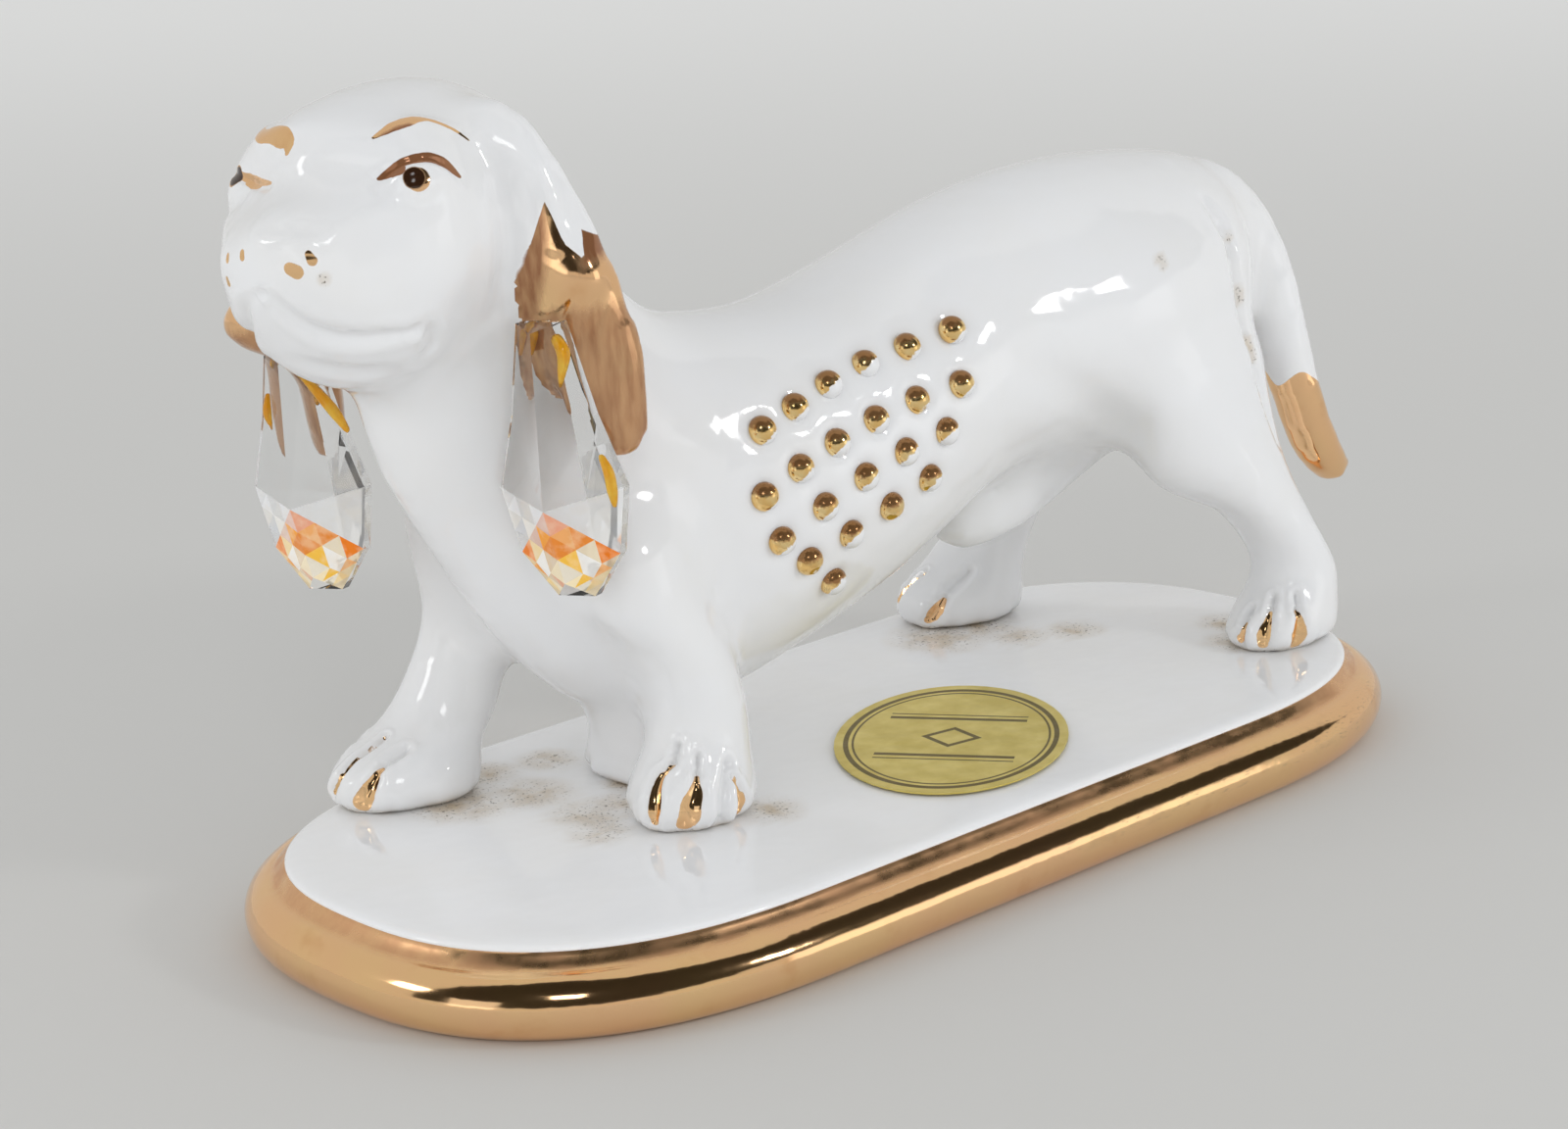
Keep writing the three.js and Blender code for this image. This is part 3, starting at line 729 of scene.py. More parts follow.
def makeForms():
    made = {}
    made["torso"] = loft("form_torso", slabRings(bodyForms["torso"], 34), 48)
    made["sheath"] = loft("form_sheath", tubeRings(bodyForms["sheath"], 10), 20)
    made["tail"] = loft("form_tail", tubeRings(bodyForms["tail"], 22), 24)
    made["post"] = loft("form_post", [
        ((x, y, z), long, wide, 0, 0) for x, y, z, long, wide in smoothRows(bodyForms["post"], 8)
    ], 28)
    for name, (splay, rows) in bodyForms["legs"].items():
        turn = math.radians(splay)
        made[name] = loft("form_" + name, [
            ((x, y, z + soleHeight), long, wide, 0, turn) for x, y, z, long, wide in smoothRows(rows, 20)
        ], 36)
    made["head"] = loft("form_head", slabRings(bodyForms["head"], 22, -1), 40)
    for name, side in (("ear_left", -1), ("ear_right", 1)):
        made[name] = loft("form_" + name, [
            ((back, side * aside, up), wide, thin, 0, side * math.radians(bodyForms["earFlare"]))
            for back, aside, up, wide, thin in smoothRows(bodyForms["ear"], 20)
        ], 28)
    for name, piece in made.items():
        settle(piece, headPlace if name in ("head", "ear_left", "ear_right") else dogPlace)
    local = headFrame(readSpots(made["ear_right"]) / mm)
    writeSpots(made["ear_right"], fromHead(pushForms(local, bodyForms["farEarPushes"], (1,))) * mm)
    return made


def surfaceOf(piece):
    net = bmesh.new()
    net.from_mesh(piece.data)
    tree = BVHTree.FromBMesh(net)
    net.free()
    return tree


def readSpots(piece):
    spots = np.empty(len(piece.data.vertices) * 3)
    piece.data.vertices.foreach_get("co", spots)
    return spots.reshape(-1, 3)


def writeSpots(piece, spots):
    piece.data.vertices.foreach_set("co", spots.ravel())
    piece.data.update()


def readNormals(piece):
    normals = np.empty(len(piece.data.vertices) * 3, dtype=np.float32)
    piece.data.vertex_normals.foreach_get("vector", normals)
    return normals.reshape(-1, 3).astype(float)


def readEdges(piece):
    edges = np.empty(len(piece.data.edges) * 2, dtype=np.int32)
    piece.data.edges.foreach_get("vertices", edges)
    return edges.reshape(-1, 2)


def neighbourMean(spots, edges):
    total = np.zeros_like(spots)
    for axis in range(3):
        total[:, axis] = np.bincount(edges[:, 0], spots[edges[:, 1], axis], len(spots))
        total[:, axis] += np.bincount(edges[:, 1], spots[edges[:, 0], axis], len(spots))
    count = np.bincount(edges.ravel(), minlength=len(spots))
    return total / np.maximum(count, 1)[:, None]


def evenOut(piece, rounds, weight=None):  # takes off the steps of the remesh and keeps the volume
    spots, edges = readSpots(piece), readEdges(piece)
    share = 1 if weight is None else weight[:, None]
    for _ in range(rounds):
        spots = spots + share * 0.5 * (neighbourMean(spots, edges) - spots)
        spots = spots - share * 0.52 * (neighbourMean(spots, edges) - spots)
    writeSpots(piece, spots)


def fillCreases(piece, rounds, weight):  # glaze and slip fill the hollows where forms meet
    edges = readEdges(piece)
    for _ in range(rounds):
        spots, normals = readSpots(piece), readNormals(piece)
        pull = neighbourMean(spots, edges) - spots
        outward = (pull * normals).sum(1)
        pull = np.where(outward[:, None] > 0, pull, pull - normals * outward[:, None])
        writeSpots(piece, spots + 0.8 * weight[:, None] * pull)


def subdivideNear(piece, wanted):  # one more cut over the faces that are wanted
    pickOnly(piece)
    net = bmesh.new()
    net.from_mesh(piece.data)
    net.verts.ensure_lookup_table()
    edges = [e for e in net.edges if wanted[e.verts[0].index] and wanted[e.verts[1].index]]
    bmesh.ops.subdivide_edges(net, edges=edges, cuts=1, use_grid_fill=True, smooth=0)
    net.to_mesh(piece.data)
    net.free()
    piece.data.update()


def toHead(point):  # forward, aside, up (mm) to world (mm)
    return np.array(headPlace @ (Vector((-point[0], point[1], point[2])) * mm)) / mm


def toDog(point):
    return np.array(dogPlace @ (Vector(point) * mm)) / mm


def through(place, spots):  # many points (mm) at once
    place = np.array(place)
    return ((spots * mm) @ place[:3, :3].T + place[:3, 3]) / mm


def headFrame(spots):  # world (mm) to forward, aside, up
    return through(headPlace.inverted(), spots) * (-1, 1, 1)


def dogFrame(spots):
    return through(dogPlace.inverted(), spots)


def fromHead(local):
    return through(headPlace, local * (-1, 1, 1))


def fromDog(local):
    return through(dogPlace, local)


def pushForms(local, pushes, sides=(1, -1)):  # soft pulls and presses with the thumb
    moved = local.copy()
    for middle, reach, move in pushes:
        for side in sides:
            away = (local - np.array(middle) * (1, side, 1)) / reach
            near = np.clip(1 - (away ** 2).sum(1), 0, 1) ** 2
            moved += near[:, None] * np.array(move) * (1, side, 1)
    return moved


def shapeFace(local):  # cuts the face back to faceShape, softly
    aside = np.abs(local[:, 1] - faceShape["middle"])
    rows = faceShape["rows"]
    limits = np.array([np.interp(aside, faceShape["aside"], row[1:]) for row in rows])
    level = np.interp(local[:, 2], [row[0] for row in rows], range(len(rows)))
    below = np.minimum(level.astype(int), len(rows) - 2)
    share = level - below
    each = np.arange(len(local))
    limit = limits[below, each] * (1 - share) + limits[below + 1, each] * share
    over = local[:, 0] - limit
    press = 0.5 * (over + np.sqrt(over ** 2 + faceShape["soft"] ** 2))
    press *= np.clip((local[:, 0] + 12) / 8, 0, 1)
    press *= np.clip((9.5 - local[:, 2]) / 2, 0, 1) * np.clip((local[:, 2] + 9) / 2, 0, 1)
    return local - press[:, None] * (1, 0, 0)


class Skin:  # the mesh as arrays in mm, with what is carved and painted on it
    def __init__(self, piece):
        self.piece = piece
        self.refresh()

    def refresh(self):
        self.spots = readSpots(self.piece) / mm
        self.normals = readNormals(self.piece)
        self.tree = surfaceOf(self.piece)

    def onSkin(self, points):
        return np.array([np.array(self.tree.find_nearest(Vector(p) * mm)[0]) / mm for p in points])

    def along(self, points):  # distance to the stroke, and the place along it (0, 1, 2 at its points)
        away = np.full(len(self.spots), 1e9)
        place = np.zeros(len(self.spots))
        near = np.all((self.spots > points.min(0) - 14) & (self.spots < points.max(0) + 14), axis=1)
        spots = self.spots[near]
        best, at = away[near], place[near]
        if len(points) == 1:
            best = np.linalg.norm(spots - points[0], axis=1)
        for i in range(len(points) - 1):
            a, b = points[i], points[i + 1]
            span = b - a
            t = np.clip(((spots - a) @ span) / max(span @ span, 1e-9), 0, 1)
            gap = np.linalg.norm(spots - a - t[:, None] * span, axis=1)
            closer = gap < best
            best = np.where(closer, gap, best)
            at = np.where(closer, i + t, at)
        away[near], place[near] = best, at
        return away, place

    def carve(self, points, widths, depths, shoulder=0.0):  # below nought raises
        points = self.onSkin(points)
        away, place = self.along(points)
        ratio = away / np.maximum(valuesAt(place, widths, len(points)), 1e-6)
        depth = valuesAt(place, depths, len(points))
        inside = np.where(ratio < 1, (1 - np.minimum(ratio, 1) ** 2) ** 2, 0)
        beside = np.where((ratio > 0.8) & (ratio < 2.2), np.sin((ratio - 0.8) / 1.4 * np.pi) ** 2, 0)
        self.spots = self.spots + self.normals * (shoulder * beside - depth * inside)[:, None]

    def paint(self, points, widths):  # signed distance into the stroke
        points = self.onSkin(points)
        away, place = self.along(points)
        return valuesAt(place, widths, len(points)) - away

    def keep(self):
        writeSpots(self.piece, self.spots * mm)
        self.refresh()


def valuesAt(place, values, count):
    if isinstance(values, (int, float)):
        return values
    return np.interp(place, np.linspace(0, count - 1, len(values)), values)


def smoothLine(points, cuts=4):  # more points along a stroke
    return smoothRows(points, (len(points) - 1) * cuts + 1) if len(points) > 2 else list(points)


# Face, in the head's own frame: forward, aside, up from the middle between the eyes
face = {
    "brow": ([(3.2, -10.5, 5.5), (2.0, -11.3, 5.8), (0.5, -11.9, 6.1), (-1.3, -12.4, 6.3), (-2.9, -12.7, 6.4),
        (-4.4, -13.1, 6.3), (-6.2, -13.8, 5.5), (-8.0, -14.8, 4.4), (-9.3, -16.0, 2.9)],
        [0.2, 0.6, 0.95, 1.05, 0.75, 0.45, 0.36, 0.28, 0.12]),
    "browFar": ([(6.7, 1.5, 4.8), (6.0, 1.6, 5.8), (5.0, 3.2, 6.5), (4.1, 5.5, 6.8), (3.3, 7.9, 6.6),
        (1.6, 9.6, 6.5),
        (-0.8, 10.4, 6.5), (-3.5, 11.2, 6.3), (-6.2, 12.2, 5.4), (-9.3, 14.2, 2.9)],
        [0.5, 1.2, 1.6, 1.35, 1.15, 1.0, 0.7, 0.42, 0.3, 0.12]),
    "upperLid": ([(4.6, -11.4, 0.2), (3.6, -13.0, 1.2), (2.7, -14.3, 1.9), (1.4, -15.5, 2.1),
        (-0.6, -16.1, 1.9),
        (-2.3, -16.5, 1.1), (-3.6, -16.7, 0.0), (-5.0, -16.8, -1.3)],
        [0.15, 0.45, 0.6, 0.68, 0.74, 0.72, 0.6, 0.25]),
    "wedge": ([(4.6, -11.5, 0.1), (3.8, -12.6, 0.4), (3.4, -13.5, 0.5), (3.2, -14.5, 0.6)],
        [0.15, 0.5, 0.8, 0.9]),
    "iris": ((3.0, -16.1, -0.2), (2.75, -16.4, -0.45)),  # the disc, and the gold that edges it
    "irisRadius": (1.5, 1.62),
    "lidFar": ([(7.1, 4.7, 0.9), (5.8, 7.4, 0.9), (4.6, 9.4, 1.0), (3.3, 11.2, 1.3), (2.2, 13.0, 1.6),
        (0.2, 14.6, 1.6),
        (-2.0, 15.3, 1.0), (-4.8, 15.8, -1.2)],
        [0.2, 0.5, 0.75, 0.7, 0.5, 0.45, 0.4, 0.2]),
    "wedgeFar": ([(5.4, 7.8, 0.4), (4.4, 9.6, 0.2), (3.4, 11.2, 0.4)], [0.3, 0.7, 0.6]),
    "irisFar": ((1.9, 13.6, -0.2), (1.7, 13.7, -0.4)),
    "underEye": [(5.0, -12.0, -2.2), (4.2, -14.2, -3.1), (2.6, -16.2, -3.5), (0.3, -17.3, -3.2)],
    "mouth": [(16.9, -0.2, -11.8), (16.7, -1.7, -12.6), (15.8, -2.6, -14.3), (14.4, -4.0, -16.4),
        (12.7, -6.0, -18.1),
        (10.3, -8.7, -19.2), (7.5, -11.3, -19.6), (4.5, -13.3, -19.8)],
    "mouthFar": [(16.9, -0.2, -11.8), (16.4, 2.5, -12.7), (15.8, 4.6, -14.2), (14.4, 6.6, -16.4),
        (12.2, 8.6, -18.1),
        (9.5, 10.6, -19.2), (6.5, 12.4, -19.6), (4.0, 13.6, -19.8)],
    "lipUnder": [(11.5, 1.5, -22.0), (10.7, -0.7, -22.6), (9.6, -3.0, -23.6), (8.1, -4.7, -24.5),
        (6.1, -6.8, -24.8),
        (3.9, -8.1, -24.9)],
    "corner": [(3.2, -14.2, -19.4), (1.6, -14.2, -21.0), (0.2, -12.6, -23.0), (1.2, -10.6, -24.2)],
    "nosePad": [(15.9, -1.0, -3.9), (15.5, -3.8, -4.2), (14.6, -6.2, -4.9), (13.2, -8.3, -5.3)],
    "dots": [([(17.0, -5.1, -9.0), (16.8, -5.9, -9.5)], [0.85, 0.95]), ([(15.9, -7.6, -7.4),
        (15.7, -7.9, -8.3)], [0.5, 0.68])],
    "dotsFar": [([(17.4, 2.5, -6.5), (17.3, 2.4, -7.2)], [0.45, 0.5]), ([(16.0, 5.9, -7.1),
        (16.0, 5.8, -7.7)], [0.4, 0.45]),
        ([(16.4, 6.6, -10.1), (16.4, 6.5, -10.7)], [0.4, 0.5])],
    "dotFaded": (15.2, -9.0, -10.9),
    "ball": (2.0, -15.3, -0.5),
    "ballFar": (1.8, 13.2, -0.5),
    "noseBall": (15.4, -3.6, -1.4),
    "stop": [(7.9, 3.1, 0.9), (8.6, -1.2, 1.8), (7.5, -4.3, 2.7), (6.0, -7.6, 2.8)],
    "browDark": [(2.4, -11.7, 5.3), (0.6, -12.5, 5.7), (-1.3, -13.1, 5.8)],
}
ear = {
    "ridge": [(-13.6, -19.6, 1.7), (-14.9, -21.4, -0.7), (-15.6, -22.6, -3.9), (-15.3, -23.5, -8.2),
        (-14.8, -24.2, -12.0)],
    "front": [(-13.4, -20.3, 0.5), (-13.5, -21.1, -3.2), (-12.7, -21.0, -11.5), (-12.1, -19.7, -17.5),
        (-11.9, -18.5, -20.9)],
    "cheek": [(-10.8, -17.6, 1.5), (-11.2, -18.4, -3.0), (-11.2, -18.6, -9.0), (-10.6, -18.2, -15.0),
        (-10.0, -17.2, -20.0)],
}
tailCrease = [(75.9, -14.4, 83.8), (77.0, -15.9, 81.4), (78.2, -17.3, 78.3), (78.3, -19.0, 74.4),
        (78.7, -19.6, 69.5),
        (79.3, -20.4, 63.8), (79.8, -21.8, 57.9), (81.7, -21.9, 51.2), (83.5, -22.6, 45.2)]
flankFold = [(25.2, -20.4, 67.1), (33.2, -20.3, 64.5), (43.2, -19.1, 59.5), (51.5, -18.1, 54),
    (57.4, -23, 49), (65.3, -25, 42.3)]
flankStain = (58.4, -21.5, 78.2)

# Paws, in the dog's frame: gold teardrops between the toes, and the bare grooves
paws = {
    "edge": 0.5,  # the groove is this much wider than the mark (mm)
    "depth": 0.95,
    "shoulder": 0.22,
    "gold": [
        ([(-41.6, -23.2, 21.7), (-42.3, -23.0, 20.9), (-43.3, -22.6, 19.9), (-44.5, -23.0, 18.5),
        (-45.3, -23.6, 17.1),
        (-45.8, -23.9, 15.8), (-45.9, -23.9, 14.4)], [0.12, 0.35, 0.55, 0.85, 1.1, 1.15, 0.8]),
        ([(-39.9, -26.2, 20.2), (-40.5, -26.6, 19.0), (-41.2, -27.1, 17.8), (-42.2, -27.4, 16.5),
        (-42.6, -27.5, 15.2),
        (-43.2, -27.1, 14.1)], [0.15, 0.7, 1.25, 1.6, 1.7, 1.35]),
        ([(-34.7, -27.6, 19.0), (-34.2, -27.8, 17.7), (-34.0, -28.0, 16.2), (-33.7, -28.0, 14.9),
        (-34.2, -28.0, 14.0)],
        [0.12, 0.5, 0.85, 1.15, 1.0]),
        ([(-64.7, 15.3, 21.7), (-65.7, 15.3, 21.1), (-67.8, 15.4, 20.1), (-69.9, 15.8, 19.0),
        (-71.5, 15.8, 17.9),
        (-72.5, 16.1, 16.6), (-72.9, 16.9, 15.0)], [0.25, 0.36, 0.36, 0.4, 0.45, 0.6, 0.55]),
        ([(-67.9, 11.4, 18.7), (-69.1, 11.1, 18.0), (-70.2, 11.0, 16.8), (-71.1, 11.2, 15.5),
        (-71.5, 11.7, 14.4)],
        [0.25, 0.65, 1.1, 1.45, 1.5]),
        ([(74.0, -24.8, 16.9), (73.2, -25.0, 15.5), (73.0, -24.6, 14.3)], [0.15, 0.6, 0.85]),
        ([(76.8, -27.6, 18.8), (75.8, -27.9, 17.6), (74.9, -28.2, 16.4), (74.3, -28.2, 15.1),
        (74.1, -28.2, 14.1)],
        [0.2, 0.65, 1.0, 1.3, 1.0]),
        ([(79.8, -30.2, 18.7), (79.7, -30.7, 17.6), (79.5, -31.2, 16.3), (79.1, -31.3, 14.9),
        (78.9, -31.1, 14.0)],
        [0.2, 0.7, 1.3, 1.75, 1.5]),
        ([(48.1, 23.7, 20.7), (46.8, 25.0, 19.3), (45.6, 26.0, 17.9), (44.5, 26.6, 16.3)],
        [0.3, 0.6, 0.7, 0.6]),
        ([(47.1, 18.3, 17.2), (46.0, 18.3, 16.2), (45.2, 19.0, 15.0), (44.8, 19.6, 14.2)],
        [0.5, 1.1, 1.2, 0.8]),
        ([(-38.0, -12.6, 19.5), (-41.0, -13.6, 17.5), (-42.6, -14.4, 15.2)], [0.3, 0.8, 1.1]),
        ([(-64.0, 20.5, 19.5), (-68.0, 20.4, 17.5), (-70.0, 20.2, 15.0)], [0.3, 0.7, 1.0]),
        ([(50.0, 28.5, 19.0), (47.0, 29.0, 17.0), (45.8, 29.2, 14.8)], [0.3, 0.7, 1.0]),
    ],
    "bare": [
        ([(-35.0, -26.6, 20.7), (-35.9, -27.4, 19.2), (-36.9, -28.1, 17.6), (-37.6, -28.7, 16.0),
        (-38.1, -28.8, 13.6)],
        [0.6, 0.8, 0.9, 0.9, 0.8]),
        ([(-64.2, 10.9, 20.5), (-65.9, 11.1, 19.7), (-67.9, 11.4, 18.7)], [0.5, 0.7, 0.6]),
        ([(51.9, 17.2, 21.4), (49.8, 17.7, 19.8), (47.8, 18.0, 18.6), (47.1, 18.3, 17.2)],
        [0.5, 0.8, 0.8, 0.6]),
        ([(-40.2, -22.6, 23.6), (-41.6, -23.2, 21.7)], [0.3, 0.5]),
        ([(-38.9, -25.2, 22.4), (-39.9, -26.2, 20.2)], [0.3, 0.5]),
        ([(78.0, -26.9, 20.9), (76.8, -27.6, 18.8)], [0.3, 0.5]),
        ([(80.5, -29.4, 21.0), (79.8, -30.2, 18.7)], [0.3, 0.5]),
        ([(75.4, -24.6, 18.9), (74.0, -24.8, 16.9)], [0.3, 0.5]),
    ],
}

# Where the gold starts on the ears (place across the ear, height) and on the tail
goldEdges = {
    "earAcross": [-9, -6, -4.7, -3.2, -2.2, -1.4, -0.6, 1.4, 1.9, 2.2, 3.9, 6, 9],
    "earHeight": [-13, -13, -11.6, -8.5, -6.3, -8.9, -12.1, -14.3, -14.0, -10.8, -11.7, -12.5, -12],
    "frontHeight": [-26, -22, -20.9, -17.5, -11.5, -3.2, 0.5],
    "frontForward": [-4, -7, -11.6, -12.0, -12.6, -13.4, -13.3],
    "ears": [  # side, furthest forward, shift of the front edge
        ("ear_left", -1, -4, 0),
        ("ear_right", 1, 6, 14),
    ],
    "earPart": (13, 6, 2.4),  # outside, below, thickness of the layer
    "earMiddle": (17.9, 22.5),  # back and aside
    "earAlong": (0.743, 0.669),  # the way across it
    "tailHeight": 51.5,
    "tailPart": (90, 62, 1.2),  # beyond, below, thickness of the layer
    "tailMiddle": (98, -11),
}


# Strokes of the modelling tool: width, depth (below nought raises) and the shoulder beside it (mm)
strokes = {
    "eyeball": (4.4, -0.75, 0),
    "lid": (0.95, [0.12, 0.34, 0.34, 0.12], 0.06),
    "brow": (2.6, [0.1, -0.4, -0.5, -0.35, -0.1], 0),
    "underEye": (2.8, [0.25, 0.5, 0.45, 0.2], 0),
    "stop": (2.4, [0.1, 0.3, 0.3, 0.1], 0),
    "mouth": ([0.7, 1.2, 1.6, 1.8, 1.8, 1.5, 1.2], [0.06, 0.3, 0.65, 0.85, 0.9, 0.8, 0.35], 0.2),
    "lipUnder": (2.6, [0.2, 0.7, 0.75, 0.3], 0),
    "corner": (1.7, [0.3, 0.65, 0.55, 0.1], 0.15),
    "noseBall": (6.5, -0.55, 0),
    "nosePad": (1.6, [0.2, 0.45, 0.45, 0.1], 0.05),
    "cheek": (2.8, [0.3, 1.1, 1.2, 1.2, 0.5], 0),
    "ridge": (2.6, [-0.2, -0.6, -0.8, -0.8, -0.4], 0),
    "tailCrease": (2.4, [0.6, 1.5, 1.7, 1.7, 1.7, 1.4, 0.7], 0),
    "flankFold": (5, [0.1, 0.5, 0.75, 0.6, 0.2, 0.0], 0.12),
    "dimple": (3.7, 0.6, 0.08),
}
lidDrop = 0.75  # the lid's groove runs this far below the painted line
casting = {
    "evenAfterRemesh": 8,
    "evenAfterCreases": 4,
    "tail": (88, 78, 0.12),  # beyond, below, share of the filling: the tail stays clear of the thigh
    "paws": (20, 0.5),  # below, share
    "face": (-6, -12, 10),  # forward of, above, rounds
}
refining = {  # how near a mark the mesh is cut finer (mm), and the edges of the gold
    "marks": 2.6,
    "soft": 2.2,
    "finest": 1.5,
    "even": (3.4, 4),  # reach, rounds
    "tailEdge": (93, 48, 55),  # beyond, from, to
    "earEdge": (-11, 19, -16, -5),  # behind, outside, from, to
}
paintWork = {
    "outside": -9.0,
    "lidShade": 0.3,
    "browShade": 0.5,
    "frontShade": (2.7, 0.3, -0.15, 0.19),  # reach, slope, start, most
    "irisClear": -0.1,
    "fadedDot": (1.2, 0.8),  # reach, most
    "tailCreaseDarkening": (1.0, 1.3, 1.2),  # reach, slope, most
    "flankStain": (1.6, 0.4),
    "soleStain": (13.5, 0.6, 0.7),  # below, slope, most
}
lineMarks = ("brow", "browFar", "upperLid", "lidFar", "wedge", "wedgeFar")
softMarks = ("mouth", "mouthFar", "corner", "underEye", "nosePad")
studNodes = sorted(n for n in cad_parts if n.startswith("bead_"))


def studMiddle(name):
    low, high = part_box(name)
    return (low + high) / 2


def onHead(points):
    return [toHead(p) for p in smoothLine(points)]


def onDog(points):
    return [toDog(p) for p in smoothLine(points)]


def flipped(points):
    return [(p[0], -p[1], p[2]) for p in points]


def nearAny(spots, places, reach):
    wanted = np.zeros(len(spots), dtype=bool)
    for p in places:
        wanted |= np.linalg.norm(spots - p, axis=1) < reach
    return wanted


def castDog(forms):
    dog = recast(list(forms.values()), "porcelain_dog", bodyForms["voxel"])
    evenOut(dog, casting["evenAfterRemesh"])
    x, _, z = dogFrame(readSpots(dog) / mm).T
    weight = np.ones(len(x))
    beyond, below, share = casting["tail"]
    weight[(x > beyond) & (z < below)] = share
    below, share = casting["paws"]
    weight[z < below] = share
    fillCreases(dog, bodyForms["creaseRounds"], weight)
    evenOut(dog, casting["evenAfterCreases"])
    spots = readSpots(dog) / mm
    spots = fromDog(pushForms(dogFrame(spots), bodyForms["bodyPushes"]))
    local = pushForms(headFrame(spots), bodyForms["headPushes"])
    local = pushForms(local, bodyForms["earPushes"])
    spots = fromHead(shapeFace(local))
    writeSpots(dog, spots * mm)
    forward, _, up = headFrame(spots).T
    front, above, rounds = casting["face"]
    evenOut(dog, rounds, ((forward > front) & (up > above)).astype(float))
    fine = dog.modifiers.new("fine", "SUBSURF")
    fine.levels = 1
    fine.render_levels = 1
    applyAll(dog)
    print("dog cast:", len(dog.data.polygons), "faces")
    return dog


def refineDog(dog):  # a finer mesh where the painter and the modeller worked
    marks = [p for key in lineMarks for p in onHead(face[key][0])]
    marks += [toHead(p) for line, _ in face["dots"] + face["dotsFar"] for p in line]
    marks += [toHead(face["iris"][0]), toHead(face["irisFar"][0]), toHead(face["dotFaded"])]
    soft = [toHead(p) for key in softMarks for p in face[key]]
    onPaws = [toDog(p) for line, _ in paws["gold"] + paws["bare"] for p in line]
    spots = readSpots(dog) / mm
    wanted = nearAny(spots, marks + onPaws, refining["marks"]) | nearAny(spots, soft, refining["soft"])
    x, _, z = dogFrame(spots).T
    beyond, low, high = refining["tailEdge"]
    wanted |= (x > beyond) & (z < high) & (z > low)
    forward, aside, up = headFrame(spots).T
    behind, outside, low, high = refining["earEdge"]
    wanted |= (forward < behind) & (np.abs(aside) > outside) & (up < high) & (up > low)
    subdivideNear(dog, wanted)
    subdivideNear(dog, nearAny(readSpots(dog) / mm, marks, refining["finest"]))
    reach, rounds = refining["even"]
    evenOut(dog, rounds, nearAny(readSpots(dog) / mm, marks + onPaws, reach).astype(float))
    print("dog refined:", len(dog.data.polygons), "faces")


def carveDog(skin):
    def work(*rows):  # strokes made on one state of the skin
        for key, place, *lines in rows:
            for line in lines:
                skin.carve(place(line), *strokes[key])
        skin.keep()

    for ball, lid, brow in ((face["ball"], "upperLid", "brow"), (face["ballFar"], "lidFar", "browFar")):
        work(("eyeball", onHead, [ball]))
        groove = [(p[0], p[1], p[2] - lidDrop) for p in face[lid][0]]
        work(("lid", onHead, groove), ("brow", onHead, face[brow][0]))
    work(("underEye", onHead, face["underEye"], flipped(face["underEye"])), ("stop", onHead, face["stop"]))
    work(("mouth", onHead, face["mouth"], face["mouthFar"]))
    work(("lipUnder", onHead, face["lipUnder"]),
         ("corner", onHead, face["corner"], flipped(face["corner"])),
         ("noseBall", onHead, [face["noseBall"]]))
    work(("nosePad", onHead, face["nosePad"]),
         ("cheek", onHead, ear["cheek"]), ("ridge", onHead, ear["ridge"]),
         ("cheek", onHead, flipped(ear["cheek"])), ("ridge", onHead, flipped(ear["ridge"])))
    work(("tailCrease", onDog, tailCrease), ("flankFold", onDog, flankFold, flipped(flankFold)))
    for line, wide in paws["gold"] + paws["bare"]:
        skin.carve(onDog(line), [w + paws["edge"] for w in wide], paws["depth"], paws["shoulder"])
    skin.keep()
    for name in studNodes:
        skin.carve([np.array(studMiddle(name)) / mm], *strokes["dimple"])
    skin.keep()


def paintDog(skin, trees):  # painted marks as signed distances in mm, inside above nought
    count = len(skin.spots)
    marks = {name: np.full(count, paintWork["outside"]) for name in ("lustre", "iris", "umber")}
    marks["stain"] = np.zeros(count)

    def add(name, values):
        marks[name] = np.maximum(marks[name], values)

    def addStain(points, reach, most, slope=1):
        add("stain", np.clip(skin.paint(points, reach) * slope, 0, most))

    for key in lineMarks:
        points, wide = face[key]
        add("lustre", skin.paint(onHead(points), wide))
        if key in ("upperLid", "wedge"):
            add("umber", skin.paint(onHead(points), [w + paintWork["lidShade"] for w in wide]))
    # painted dark reflection under the brow, and painted shade along the ears' front edges
    add("umber", skin.paint(onHead(face["browDark"]), paintWork["browShade"]))
    reach, slope, start, most = paintWork["frontShade"]
    for line in (ear["front"], flipped(ear["front"])):
        add("umber", np.minimum(skin.paint(onHead(line), reach) * slope + start, most))
    for key in ("iris", "irisFar"):
        disc, edge = (skin.paint([toHead(at)], radius) for at, radius in zip(face[key], face["irisRadius"]))
        add("iris", disc)
        add("lustre", np.maximum(edge, disc))
        clear = paintWork["irisClear"]
        marks["umber"] = np.where(edge > clear, np.minimum(marks["umber"], clear), marks["umber"])
    for line, wide in face["dots"] + face["dotsFar"]:
        add("lustre", skin.paint([toHead(p) for p in line], wide))
    for line, wide in paws["gold"]:
        add("lustre", skin.paint(onDog(line), wide))
    local = dogFrame(skin.spots)
    addStain([toHead(face["dotFaded"])], *paintWork["fadedDot"])
    # darker along the middle of the tail's crease, through the stain mask
    reach, slope, most = paintWork["tailCreaseDarkening"]
    addStain(onDog(tailCrease[2:7]), reach, most, slope)
    addStain([toDog(flankStain)], *paintWork["flankStain"])
    below, slope, most = paintWork["soleStain"]
    add("stain", np.clip((below - local[:, 2]) * slope, 0, most))
    gildEars(skin, trees, marks["lustre"], marks["umber"])
    gildTail(skin, trees, marks["lustre"])
    paintOn(skin.piece, **marks)


